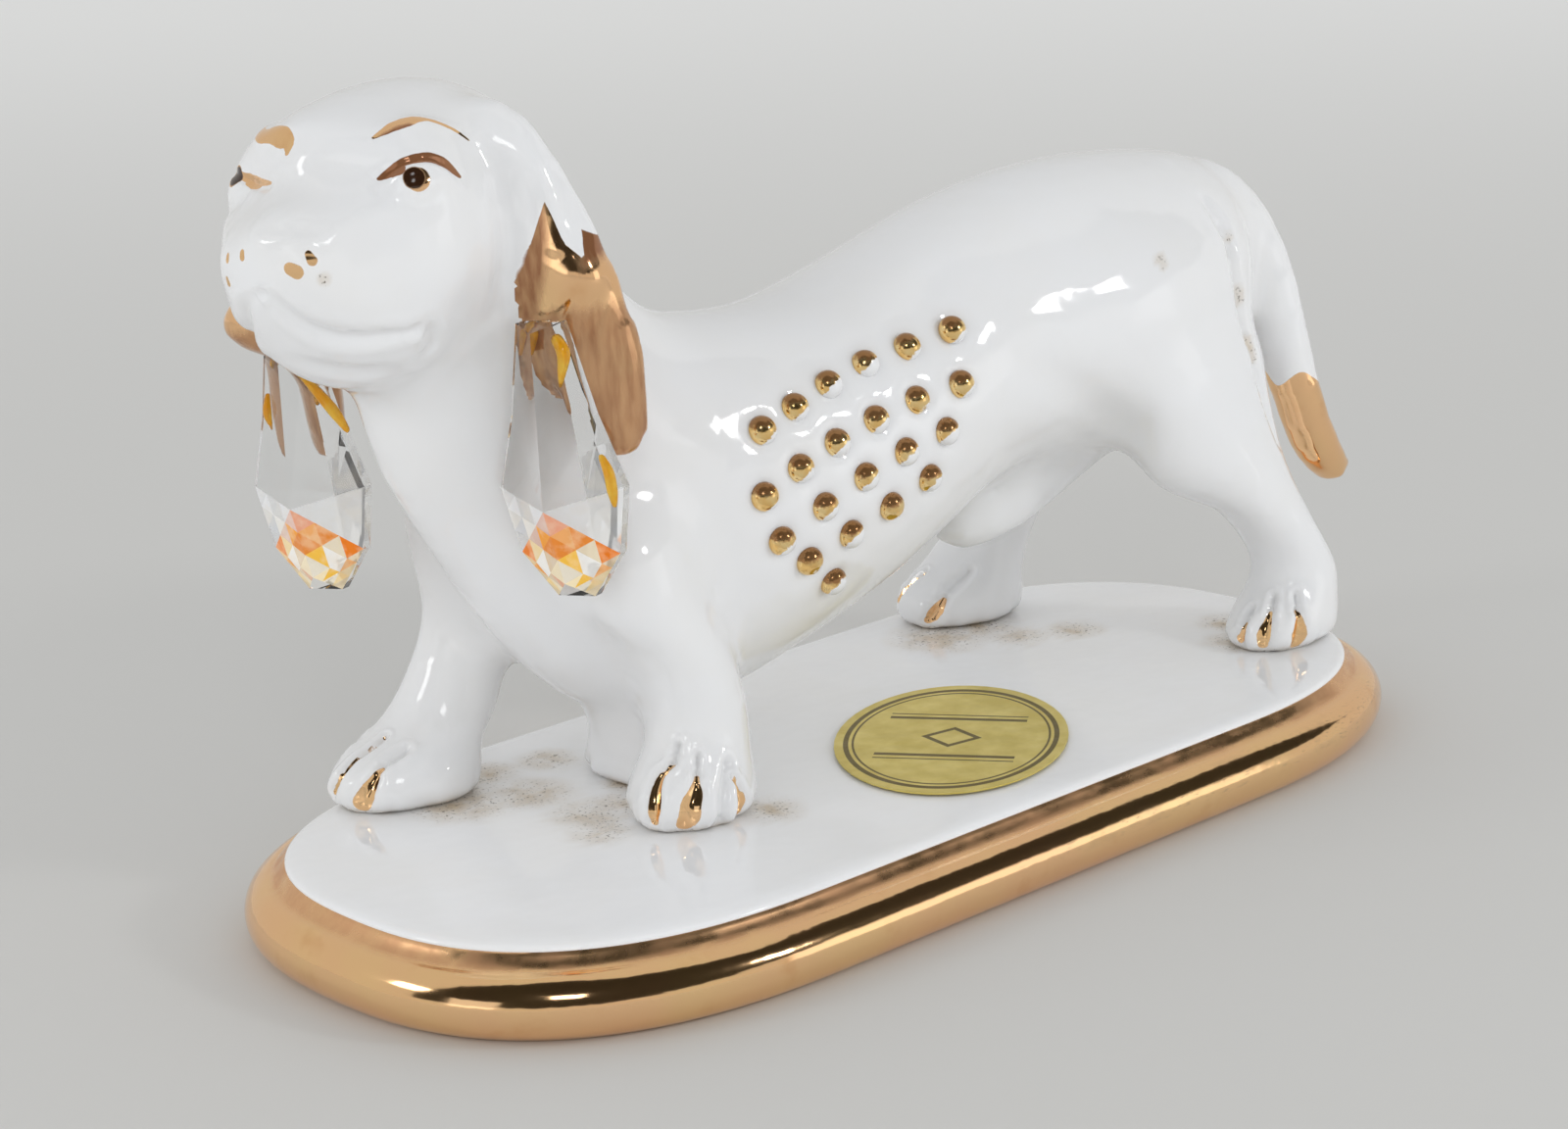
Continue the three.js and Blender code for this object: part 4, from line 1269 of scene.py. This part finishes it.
def gildTail(skin, trees, lustre):
    local = dogFrame(skin.spots)
    beyond, below, thick = goldEdges["tailPart"]
    middleX, middleY = goldEdges["tailMiddle"]
    for i in np.nonzero((local[:, 0] > beyond) & (local[:, 2] < below))[0]:
        if trees["tail"].find_nearest(Vector(skin.spots[i]) * mm)[3] / mm > thick:
            continue
        turn = math.atan2(local[i, 1] - middleY, local[i, 0] - middleX)
        edge = goldEdges["tailHeight"] + 1.2 * math.sin(turn * 3 + 0.6)  # a wavering brush line
        lustre[i] = max(lustre[i], min(edge - local[i, 2], 2.5))


def gildEars(skin, trees, lustre, umber):
    local = headFrame(skin.spots)
    outside, below, thick = goldEdges["earPart"]
    (backMiddle, asideMiddle), (backShare, asideShare) = goldEdges["earMiddle"], goldEdges["earAlong"]
    for name, side, reach, shift in goldEdges["ears"]:
        close = (local[:, 1] * side > outside) & (local[:, 0] < reach) & (local[:, 2] < below)
        for i in np.nonzero(close)[0]:
            forward, aside, up = local[i]
            toEar = trees[name].find_nearest(Vector(skin.spots[i]) * mm)[3] / mm
            if toEar > thick:
                continue
            across = (-forward - backMiddle) * backShare + (abs(aside) - asideMiddle) * asideShare
            edge = np.interp(across, goldEdges["earAcross"], goldEdges["earHeight"])
            front = np.interp(up, goldEdges["frontHeight"], goldEdges["frontForward"]) + shift
            lustre[i] = max(lustre[i], min((edge - up) * 0.7, front - forward, (thick - toEar) * 2))
            # the painted dark reflection on the upper outer side, and the darker lower tip
            paintedDarkReflection = min(across - 1.3, 8 - across, up + 16.2 - 0.3 * across) * 0.3
            umber[i] = max(umber[i], min((-21.5 - up) * 0.2, 0.08), min(paintedDarkReflection, 0.3))


def makeDog():
    forms = makeForms()
    print("dog forms laid")
    trees = {name: surfaceOf(piece) for name, piece in forms.items()}
    dog = castDog(forms)
    refineDog(dog)
    skin = Skin(dog)
    carveDog(skin)
    paintDog(skin, trees)
    coat(dog, makePorcelain("glazed_porcelain", "glaze", "glazeWarm"))
    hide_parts("torso", "head", "ear_left", "ear_right", "foreleg_left", "foreleg_right",
                "hindleg_left", "hindleg_right", "tail", "support_post")
    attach(dog, "root")
    return skin


skin = makeDog()
print("dog painted")

# Studs: one dome, set in each dimple square to the flank
stud = {
    "radius": 2.15,
    "rise": 1.85,
    "sunk": 0.55,
    "rubSide": (0.42, -0.52, -0.74),  # the side where the gold has rubbed off, on the left flank
    "rubLeast": 0.88,
    "rubMore": 0.78,
    "rubFade": (62, 55),  # most towards the front: where it ends and over how far
    "topSide": (-0.25, -0.25, 0.93),  # the upper side, which gets a painted dark brown reflection
    "topFrom": 0.3,
}


def makeStuds():
    gold = makeGoldBead()
    pickNothing()
    bpy.ops.mesh.primitive_uv_sphere_add(segments=24, ring_count=16, radius=stud["radius"] * mm)
    first = bpy.context.object
    bpy.ops.object.mode_set(mode="EDIT")
    bpy.ops.mesh.select_all(action="SELECT")
    bpy.ops.transform.resize(value=(1, 1, stud["rise"] / stud["radius"]), center_override=(0, 0, 0))
    bpy.ops.object.mode_set(mode="OBJECT")
    bpy.ops.object.shade_smooth()
    first.data.materials.append(gold)
    for name in studNodes:
        out = skin.tree.find_nearest(studMiddle(name))[1]
        pickOnly(first)
        bpy.ops.object.duplicate(linked=False)
        one = bpy.context.object
        one.name = "gold_" + name.replace("bead", "stud")
        place = Matrix.Translation(studMiddle(name) - out * stud["sunk"] * mm)
        one.matrix_world = place @ out.to_track_quat("Z", "Y").to_matrix().to_4x4()
        applyPlace()
        middle = np.array(studMiddle(name)) / mm
        flank = (1, 1 if out.y < 0 else -1, 1)
        chance = 0.5 + 0.5 * math.sin(middle[0] * 2.3 + middle[2] * 3.7)
        fadeEnd, fadeOver = stud["rubFade"]
        forward = np.clip((fadeEnd - middle[0]) / fadeOver, 0, 1)
        ways = (readSpots(one) / mm - middle) / stud["radius"]
        rub = ways @ (np.array(stud["rubSide"]) * flank)
        rub = rub - (stud["rubLeast"] - stud["rubMore"] * forward * (0.2 + 0.8 * chance))
        # painted dark reflection over the upper side of each stud
        top = ways @ (np.array(stud["topSide"]) * flank) - stud["topFrom"]
        paintOn(one, rub=rub, top=top)
        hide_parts(name)
        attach(one, "root")
    bpy.data.objects.remove(first)


makeStuds()
print("studs set")

# Plinth: white plate with a rolled lip over a lustred foot (inset from the outline, height; mm)
plinth = {
    "length": 200,
    "width": 91,
    "endLength": 58,
    "endFullness": 2.5,
    "sides": 288,
    "plate": [
        (40, 8.8), (26, 8.8), (12, 8.8), (9.5, 9.4), (7.6, 10.3), (6.6, 10.8), (6.05, 11.1), (5.82, 11.4),
        (5.85, 11.7),
        (6.05, 11.95), (6.5, 12.15), (7.3, 12.28), (9, 12.32), (11, 12.27), (13, 12.23), (15, 12.22),
        (17, 12.23),
        (19, 12.25), (21, 12.27), (23, 12.28), (25, 12.29), (27, 12.3), (29, 12.3), (31, 12.3), (33, 12.3),
        (35, 12.3),
        (37, 12.3), (39, 12.3), (41, 12.3), (43, 12.3),
    ],
    "foot": [
        (8.6, 10.6), (7.2, 11.0), (6.3, 11.35), (5.85, 11.45), (5.6, 11.25), (5.35, 10.9), (5.05, 10.5),
        (4.7, 10.12),
        (4.3, 9.8), (3.9, 9.55), (3.65, 9.44),
        ("arc", 73, -55, 22), (3.0, 0.35), (3.5, 0.0), (8.6, 0.0), (9, 0.4), (9, 5.8), (9.5, 7.0), (11, 8.4),
        (10.4, 9.6),
    ],
    "footRadius": 4.8,
    "goldBelow": 11.3,  # the lustre climbs the lip to here
    "stainAbove": 12,
    "wornOver": 30,
    "wornHeights": (4.5, 1.5, 9.2, 0.8),  # from, fading in over, to, fading out over
    "cove": (9.3, 0.5),  # from, fading in over
    "smoothTo": 50,
    "wornFrom": -20,  # scratched from here to the right end
    "stains": [  # place on the plate and reach
        (-48.3, 29.7, 6), (-48.9, 17.6, 7), (-48.5, 4.9, 6), (-37.4, 27.0, 5), (-28.1, 19.7, 4),
        (-36.6, 9.9, 4),
        (-42.8, 4.5, 5), (52.5, 31.8, 6), (52.7, 23.0, 7), (52.9, 14.4, 5), (81.0, -6.2, 5), (74.2, -14.8, 6),
        (-58.0, 22.0, 9), (-52.0, -2.0, 5), (44.0, 24.0, 9), (62.0, 10.0, 5), (-30.0, -14.0, 5),
        (-24.0, 14.0, 5),
    ],
}


def ovalRing(inset, height):
    halfWidth = plinth["width"] / 2 - inset
    endLength = plinth["endLength"] * (1 - 2 * inset / plinth["width"])
    straight = plinth["length"] / 2 - inset - endLength
    power = 2 / plinth["endFullness"]
    points = []
    for i in range(plinth["sides"]):
        turn = 2 * math.pi * i / plinth["sides"]
        c, s = math.cos(turn), math.sin(turn)
        x = math.copysign(straight + endLength * abs(c) ** power, c)
        y = math.copysign(halfWidth * abs(s) ** power, s)
        points.append(Vector((x, y, height)) * mm)
    return points


def evenRing(points):  # the same number of points, evenly spaced round the ring
    loop = np.array([tuple(p) for p in points + [points[0]]])
    steps = np.concatenate([[0], np.cumsum(np.linalg.norm(np.diff(loop, axis=0), axis=1))])
    want = np.linspace(0, steps[-1], len(points) + 1)[:-1]
    return [Vector([np.interp(w, steps, loop[:, k]) for k in range(3)]) for w in want]


def shapeRing(piece, points):  # the ring that is selected takes the outline given
    net = bmesh.from_edit_mesh(piece.data)
    for vertex, point in zip([v for v in net.verts if v.select], points):
        vertex.co = point
    bmesh.update_edit_mesh(piece.data)


def ringStack(name, rows, closed):
    pickNothing()
    sides = plinth["sides"]
    bpy.ops.mesh.primitive_circle_add(vertices=sides, radius=mm, fill_type="NOTHING" if closed else "NGON")
    piece = bpy.context.object
    piece.name = name
    bpy.ops.object.mode_set(mode="EDIT")
    bpy.ops.mesh.select_mode(type="VERT")
    shapeRing(piece, evenRing(ovalRing(*rows[0])))
    for row in rows[1:]:
        extrude = bpy.ops.mesh.extrude_edges_move if closed else bpy.ops.mesh.extrude_region_move
        extrude(TRANSFORM_OT_translate={"value": (0, 0, mm)})
        shapeRing(piece, evenRing(ovalRing(*row)))
    if closed:
        bpy.ops.mesh.select_all(action="DESELECT")
        bpy.ops.mesh.select_non_manifold()
        bpy.ops.mesh.bridge_edge_loops()
    bpy.ops.mesh.select_all(action="SELECT")
    bpy.ops.mesh.normals_make_consistent(inside=False)
    bpy.ops.object.mode_set(mode="OBJECT")
    settle(piece, plinthPlace)
    bpy.ops.object.shade_smooth_by_angle(angle=math.radians(plinth["smoothTo"]))
    return piece


def footRows():  # the foot's section with its arc laid out as points
    radius = plinth["footRadius"]
    rows = []
    for row in plinth["foot"]:
        if row[0] != "arc":
            rows.append(row)
            continue
        _, start, end, steps = row
        for i in range(steps + 1):
            turn = math.radians(start + (end - start) * i / steps)
            rows.append((radius - radius * math.cos(turn), radius + radius * math.sin(turn)))
    return rows


def makePlinth():
    centre = np.array(plinthMiddle) / mm
    plate = ringStack("plinth_plate", plinth["plate"], False)
    spots = readSpots(plate) / mm
    stain = np.zeros(len(spots))
    for x, y, reach in plinth["stains"]:
        away = np.linalg.norm(spots[:, :2] - centre[:2] - (x, y), axis=1)
        stain = np.maximum(stain, np.clip(1.15 - away / reach, 0, 1))
    stain[spots[:, 2] < plinth["stainAbove"]] = 0
    none = np.full(len(spots), -9)
    paintOn(plate, lustre=plinth["goldBelow"] - spots[:, 2], iris=none, umber=none, stain=stain)
    plate.data.materials.append(makePorcelain("glazed_plate", "plate", "plateWarm"))
    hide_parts("plinth")
    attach(plate, "root")
    rim = ringStack("plinth_rim", footRows(), True)
    x, _, height = (readSpots(rim) / mm).T
    start, fadeIn, end, fadeOut = plinth["wornHeights"]
    worn = np.clip((x - centre[0] - plinth["wornFrom"]) / plinth["wornOver"], 0, 1)
    worn = worn * np.clip((height - start) / fadeIn, 0, 1) * np.clip((end - height) / fadeOut, 0, 1)
    coveFrom, coveFade = plinth["cove"]
    paintOn(rim, worn=worn, cove=np.clip((height - coveFrom) / coveFade, 0, 1))
    rim.data.materials.append(makeLustre())
    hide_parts("plinth")
    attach(rim, "root")


makePlinth()
print("plinth made")


# Crystals: one cut drop, hung under each ear (the head's frame, mm; shares of height and width)
crystal = {
    "height": 37.5,
    "width": 20.6,
    "deep": 5.5,
    "girdle": 0.7,
    "at": (-11, 22.3, -21.8),  # forward, aside, up of the top
    "ring": {"top": (0, 0.18), "shoulder": (0.34, 0.33), "wide": (0.6, 0.5), "low": (0.84, 0.4),
        "foot": (1, 0.15)},
    "keel": {"keelTop": (0.03, 0.5), "apex": (0.66, 1), "keelFoot": (0.94, 0.55)},
    "cuts": 2,
    "kiteShares": {-1: 0.3, 1: 0.8},  # how far the upper front facets carry painted reflection tints, left and right
    "strongShares": (1, 0.8, 1, 0.55, 0.9),
    "paleShares": (0.45, 0.25, 0.6),
    "paintedReflectionTints": [(0.90, 0.34, 0.03), (0.98, 0.80, 0.45), (0.86, 0.20, 0.01), (0.95, 0.92, 0.86),
        (0.93, 0.52, 0.06), (0.70, 0.56, 0.34),
        (0.97, 0.68, 0.22), (0.80, 0.24, 0.03)],
    "palePaintedReflectionTints": [(0.97, 0.97, 0.98), (0.88, 0.89, 0.92), (1, 0.95, 0.84), (0.55, 0.59, 0.68),
        (0.95, 0.96, 0.97)],
}


def makeCrystals():
    glass = makeCrystal()
    for name, side in (("crystal_left", -1), ("crystal_right", 1)):
        pickNothing()
        net = bmesh.new()
        paintedReflectionTint = net.faces.layers.float_vector.new("paintedReflectionTintWork")
        amberGlueAndPaintedReflection = net.faces.layers.float.new("paintedReflectionShareWork")
        spots = {}

        def spot(key, turned, across):  # one corner: ring or keel, front 1 or back -1, left -1 or right 1
            corner = (key, turned, across)
            if corner not in spots:
                if key in crystal["ring"]:
                    down, wide = crystal["ring"][key]
                    out = crystal["girdle"] * turned
                else:
                    down, out = crystal["keel"][key]
                    out, wide = out * crystal["deep"] * turned, 0
                forward, aside, up = crystal["at"]
                outward = side * aside + across * wide * crystal["width"]
                at = (forward + out, outward, up - down * crystal["height"])
                spots[corner] = net.verts.new(Vector(toHead(at)) * mm)
            return spots[corner]

        mosaic = []
        for turned in (1, -1):
            for across in (-1, 1):
                facet = lambda *keys: net.faces.new(
                    [spot(k, turned, across if k in crystal["ring"] else 0) for k in keys])
                facet("keelTop", "apex", "wide", "shoulder", "top")
                lower = [facet("apex", "low", "wide"), facet("apex", "keelFoot", "low"),
                    facet("keelFoot", "foot", "low")]
                if turned > 0:
                    mosaic += [(lower[0], crystal["kiteShares"][across]), (lower[1], 1), (lower[2], 1)]
            ends = [("keelTop", 0), ("top", -1), ("top", 1)], [("keelFoot", 0), ("foot", -1), ("foot", 1)]
            for end in ends:
                net.faces.new([spot(k, turned, a) for k, a in end])
        ring = [(k, 1) for k in ("top", "shoulder", "wide", "low", "foot")]
        ring += [(k, -1) for k in ("foot", "low", "wide", "shoulder", "top")]
        for i in range(len(ring)):
            (a, left), (b, right) = ring[i], ring[(i + 1) % len(ring)]
            net.faces.new([spot(a, 1, left), spot(b, 1, right), spot(b, -1, right), spot(a, -1, left)])
        for one in net.faces:
            one[paintedReflectionTint] = (1, 1, 1)
        for one, share in mosaic:
            one[amberGlueAndPaintedReflection] = share
        edges = list({e for one, share in mosaic if share > 0.5 for e in one.edges})
        bmesh.ops.subdivide_edges(net, edges=edges, cuts=crystal["cuts"], use_grid_fill=True)
        bmesh.ops.triangulate(net, faces=[f for f in net.faces if len(f.verts) > 4 and f[amberGlueAndPaintedReflection] > 0.5])
        # painted reflection tints on the lower front facets: amber and cream where strong, white and grey
        # where pale
        for i, one in enumerate(net.faces):
            if one[amberGlueAndPaintedReflection] > 0.9:
                one[paintedReflectionTint] = crystal["paintedReflectionTints"][(i * 5 + (i // 3) * 2) % len(crystal["paintedReflectionTints"])]
                one[amberGlueAndPaintedReflection] = crystal["strongShares"][(i * 3) % 5]
            elif one[amberGlueAndPaintedReflection] > 0.5:
                one[paintedReflectionTint] = crystal["palePaintedReflectionTints"][(i * 5 + i // 3) % len(crystal["palePaintedReflectionTints"])]
                one[amberGlueAndPaintedReflection] = crystal["paleShares"][i % 3]
        bmesh.ops.recalc_face_normals(net, faces=net.faces)
        mesh = bpy.data.meshes.new(name.replace("crystal", "cut_crystal"))
        net.to_mesh(mesh)
        colours = [tuple(one[paintedReflectionTint]) for one in net.faces]
        shares = [one[amberGlueAndPaintedReflection] for one in net.faces]
        net.free()
        piece = bpy.data.objects.new(mesh.name, mesh)
        bpy.context.scene.collection.objects.link(piece)
        for layer in ("paintedReflectionTintWork", "paintedReflectionShareWork"):
            mesh.attributes.remove(mesh.attributes[layer])
        flat = [v for c in colours for v in (*c, 1)]
        mesh.attributes.new("paintedReflectionTint", "FLOAT_COLOR", "FACE").data.foreach_set("color", flat)
        mesh.attributes.new("amberGlueAndPaintedReflection", "FLOAT", "FACE").data.foreach_set("value", shares)
        mesh.materials.append(glass)
        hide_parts(name)
        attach(piece, "root")


makeCrystals()
print("crystals cut")

# Glue: old amber beads and runs where the crystals meet the ears (the head's frame; radius last)
glueRuns = {
    "left": [
        [(-10.2, -25.2, -24.2, 0.9), (-9.8, -26.2, -26.0, 1.0), (-9.5, -25.8, -28.2, 0.7),
        (-9.3, -25.3, -30.2, 0.35)],
        [(-9.6, -30.2, -40.0, 0.5), (-9.6, -31.0, -42.0, 0.8), (-9.6, -31.2, -44.5, 0.8),
        (-9.8, -31.1, -46.6, 0.4)],
        [(-13.0, -19.5, -23.8, 0.8), (-13.2, -18.4, -26.4, 0.5)],
    ],
    "right": [
        [(-9.4, 20.2, -27.6, 0.5), (-9.8, 17.6, -30.6, 0.8), (-10.2, 15.4, -33.6, 0.9),
        (-10.6, 14.0, -36.2, 0.5)],
        [(-9.2, 26.3, -31.0, 0.5), (-9.0, 26.6, -33.5, 0.8), (-9.4, 26.4, -35.6, 0.4)],
        [(-10.0, 23.5, -24.5, 0.9), (-9.6, 24.5, -26.5, 0.7)],
        [(-10.8, 22.2, -22.0, 1.1), (-10.2, 23.4, -21.6, 1.3), (-9.6, 24.6, -21.2, 1.2)],
    ],
}


def makeGlueRuns():
    amberGlueAndPaintedReflection = makeGlue()
    for side, runs in glueRuns.items():
        beads = []
        for run in runs:
            for x, y, z, radius in smoothRows(run, len(run) * 4):
                pickNothing()
                bpy.ops.mesh.primitive_ico_sphere_add(
                    subdivisions=2, radius=radius * mm, location=toHead((x, y, z)) * mm)
                beads.append(bpy.context.object)
        piece = recast(beads, "amber_glue_" + side, 0.3)
        evenOut(piece, 6)
        coat(piece, amberGlueAndPaintedReflection)
        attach(piece, "root")


makeGlueRuns()
print("glue laid")

# Label: a bare foil with lines of its own (place and half sizes in mm; lines as middle and half width)
label = {
    "at": (8.4, -12.7),
    "turn": 36,
    "long": 24.5,
    "wide": 17.5,
    "border": ((0.9, 0.022), (0.84, 0.01)),
    "rules": ((0.34, 0.022), (0.41, 0.009)),
    "ruleReach": 0.6,
    "lozenge": (0.16, 0.025),
    "lozengeLean": 0.7,
}


def dressLabel():
    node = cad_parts["foil_sticker"]
    node.data.materials.clear()
    node.data.materials.append(makeFoil())


dressLabel()
print("label dressed")

bpy.context.scene.view_settings.view_transform = "Standard"
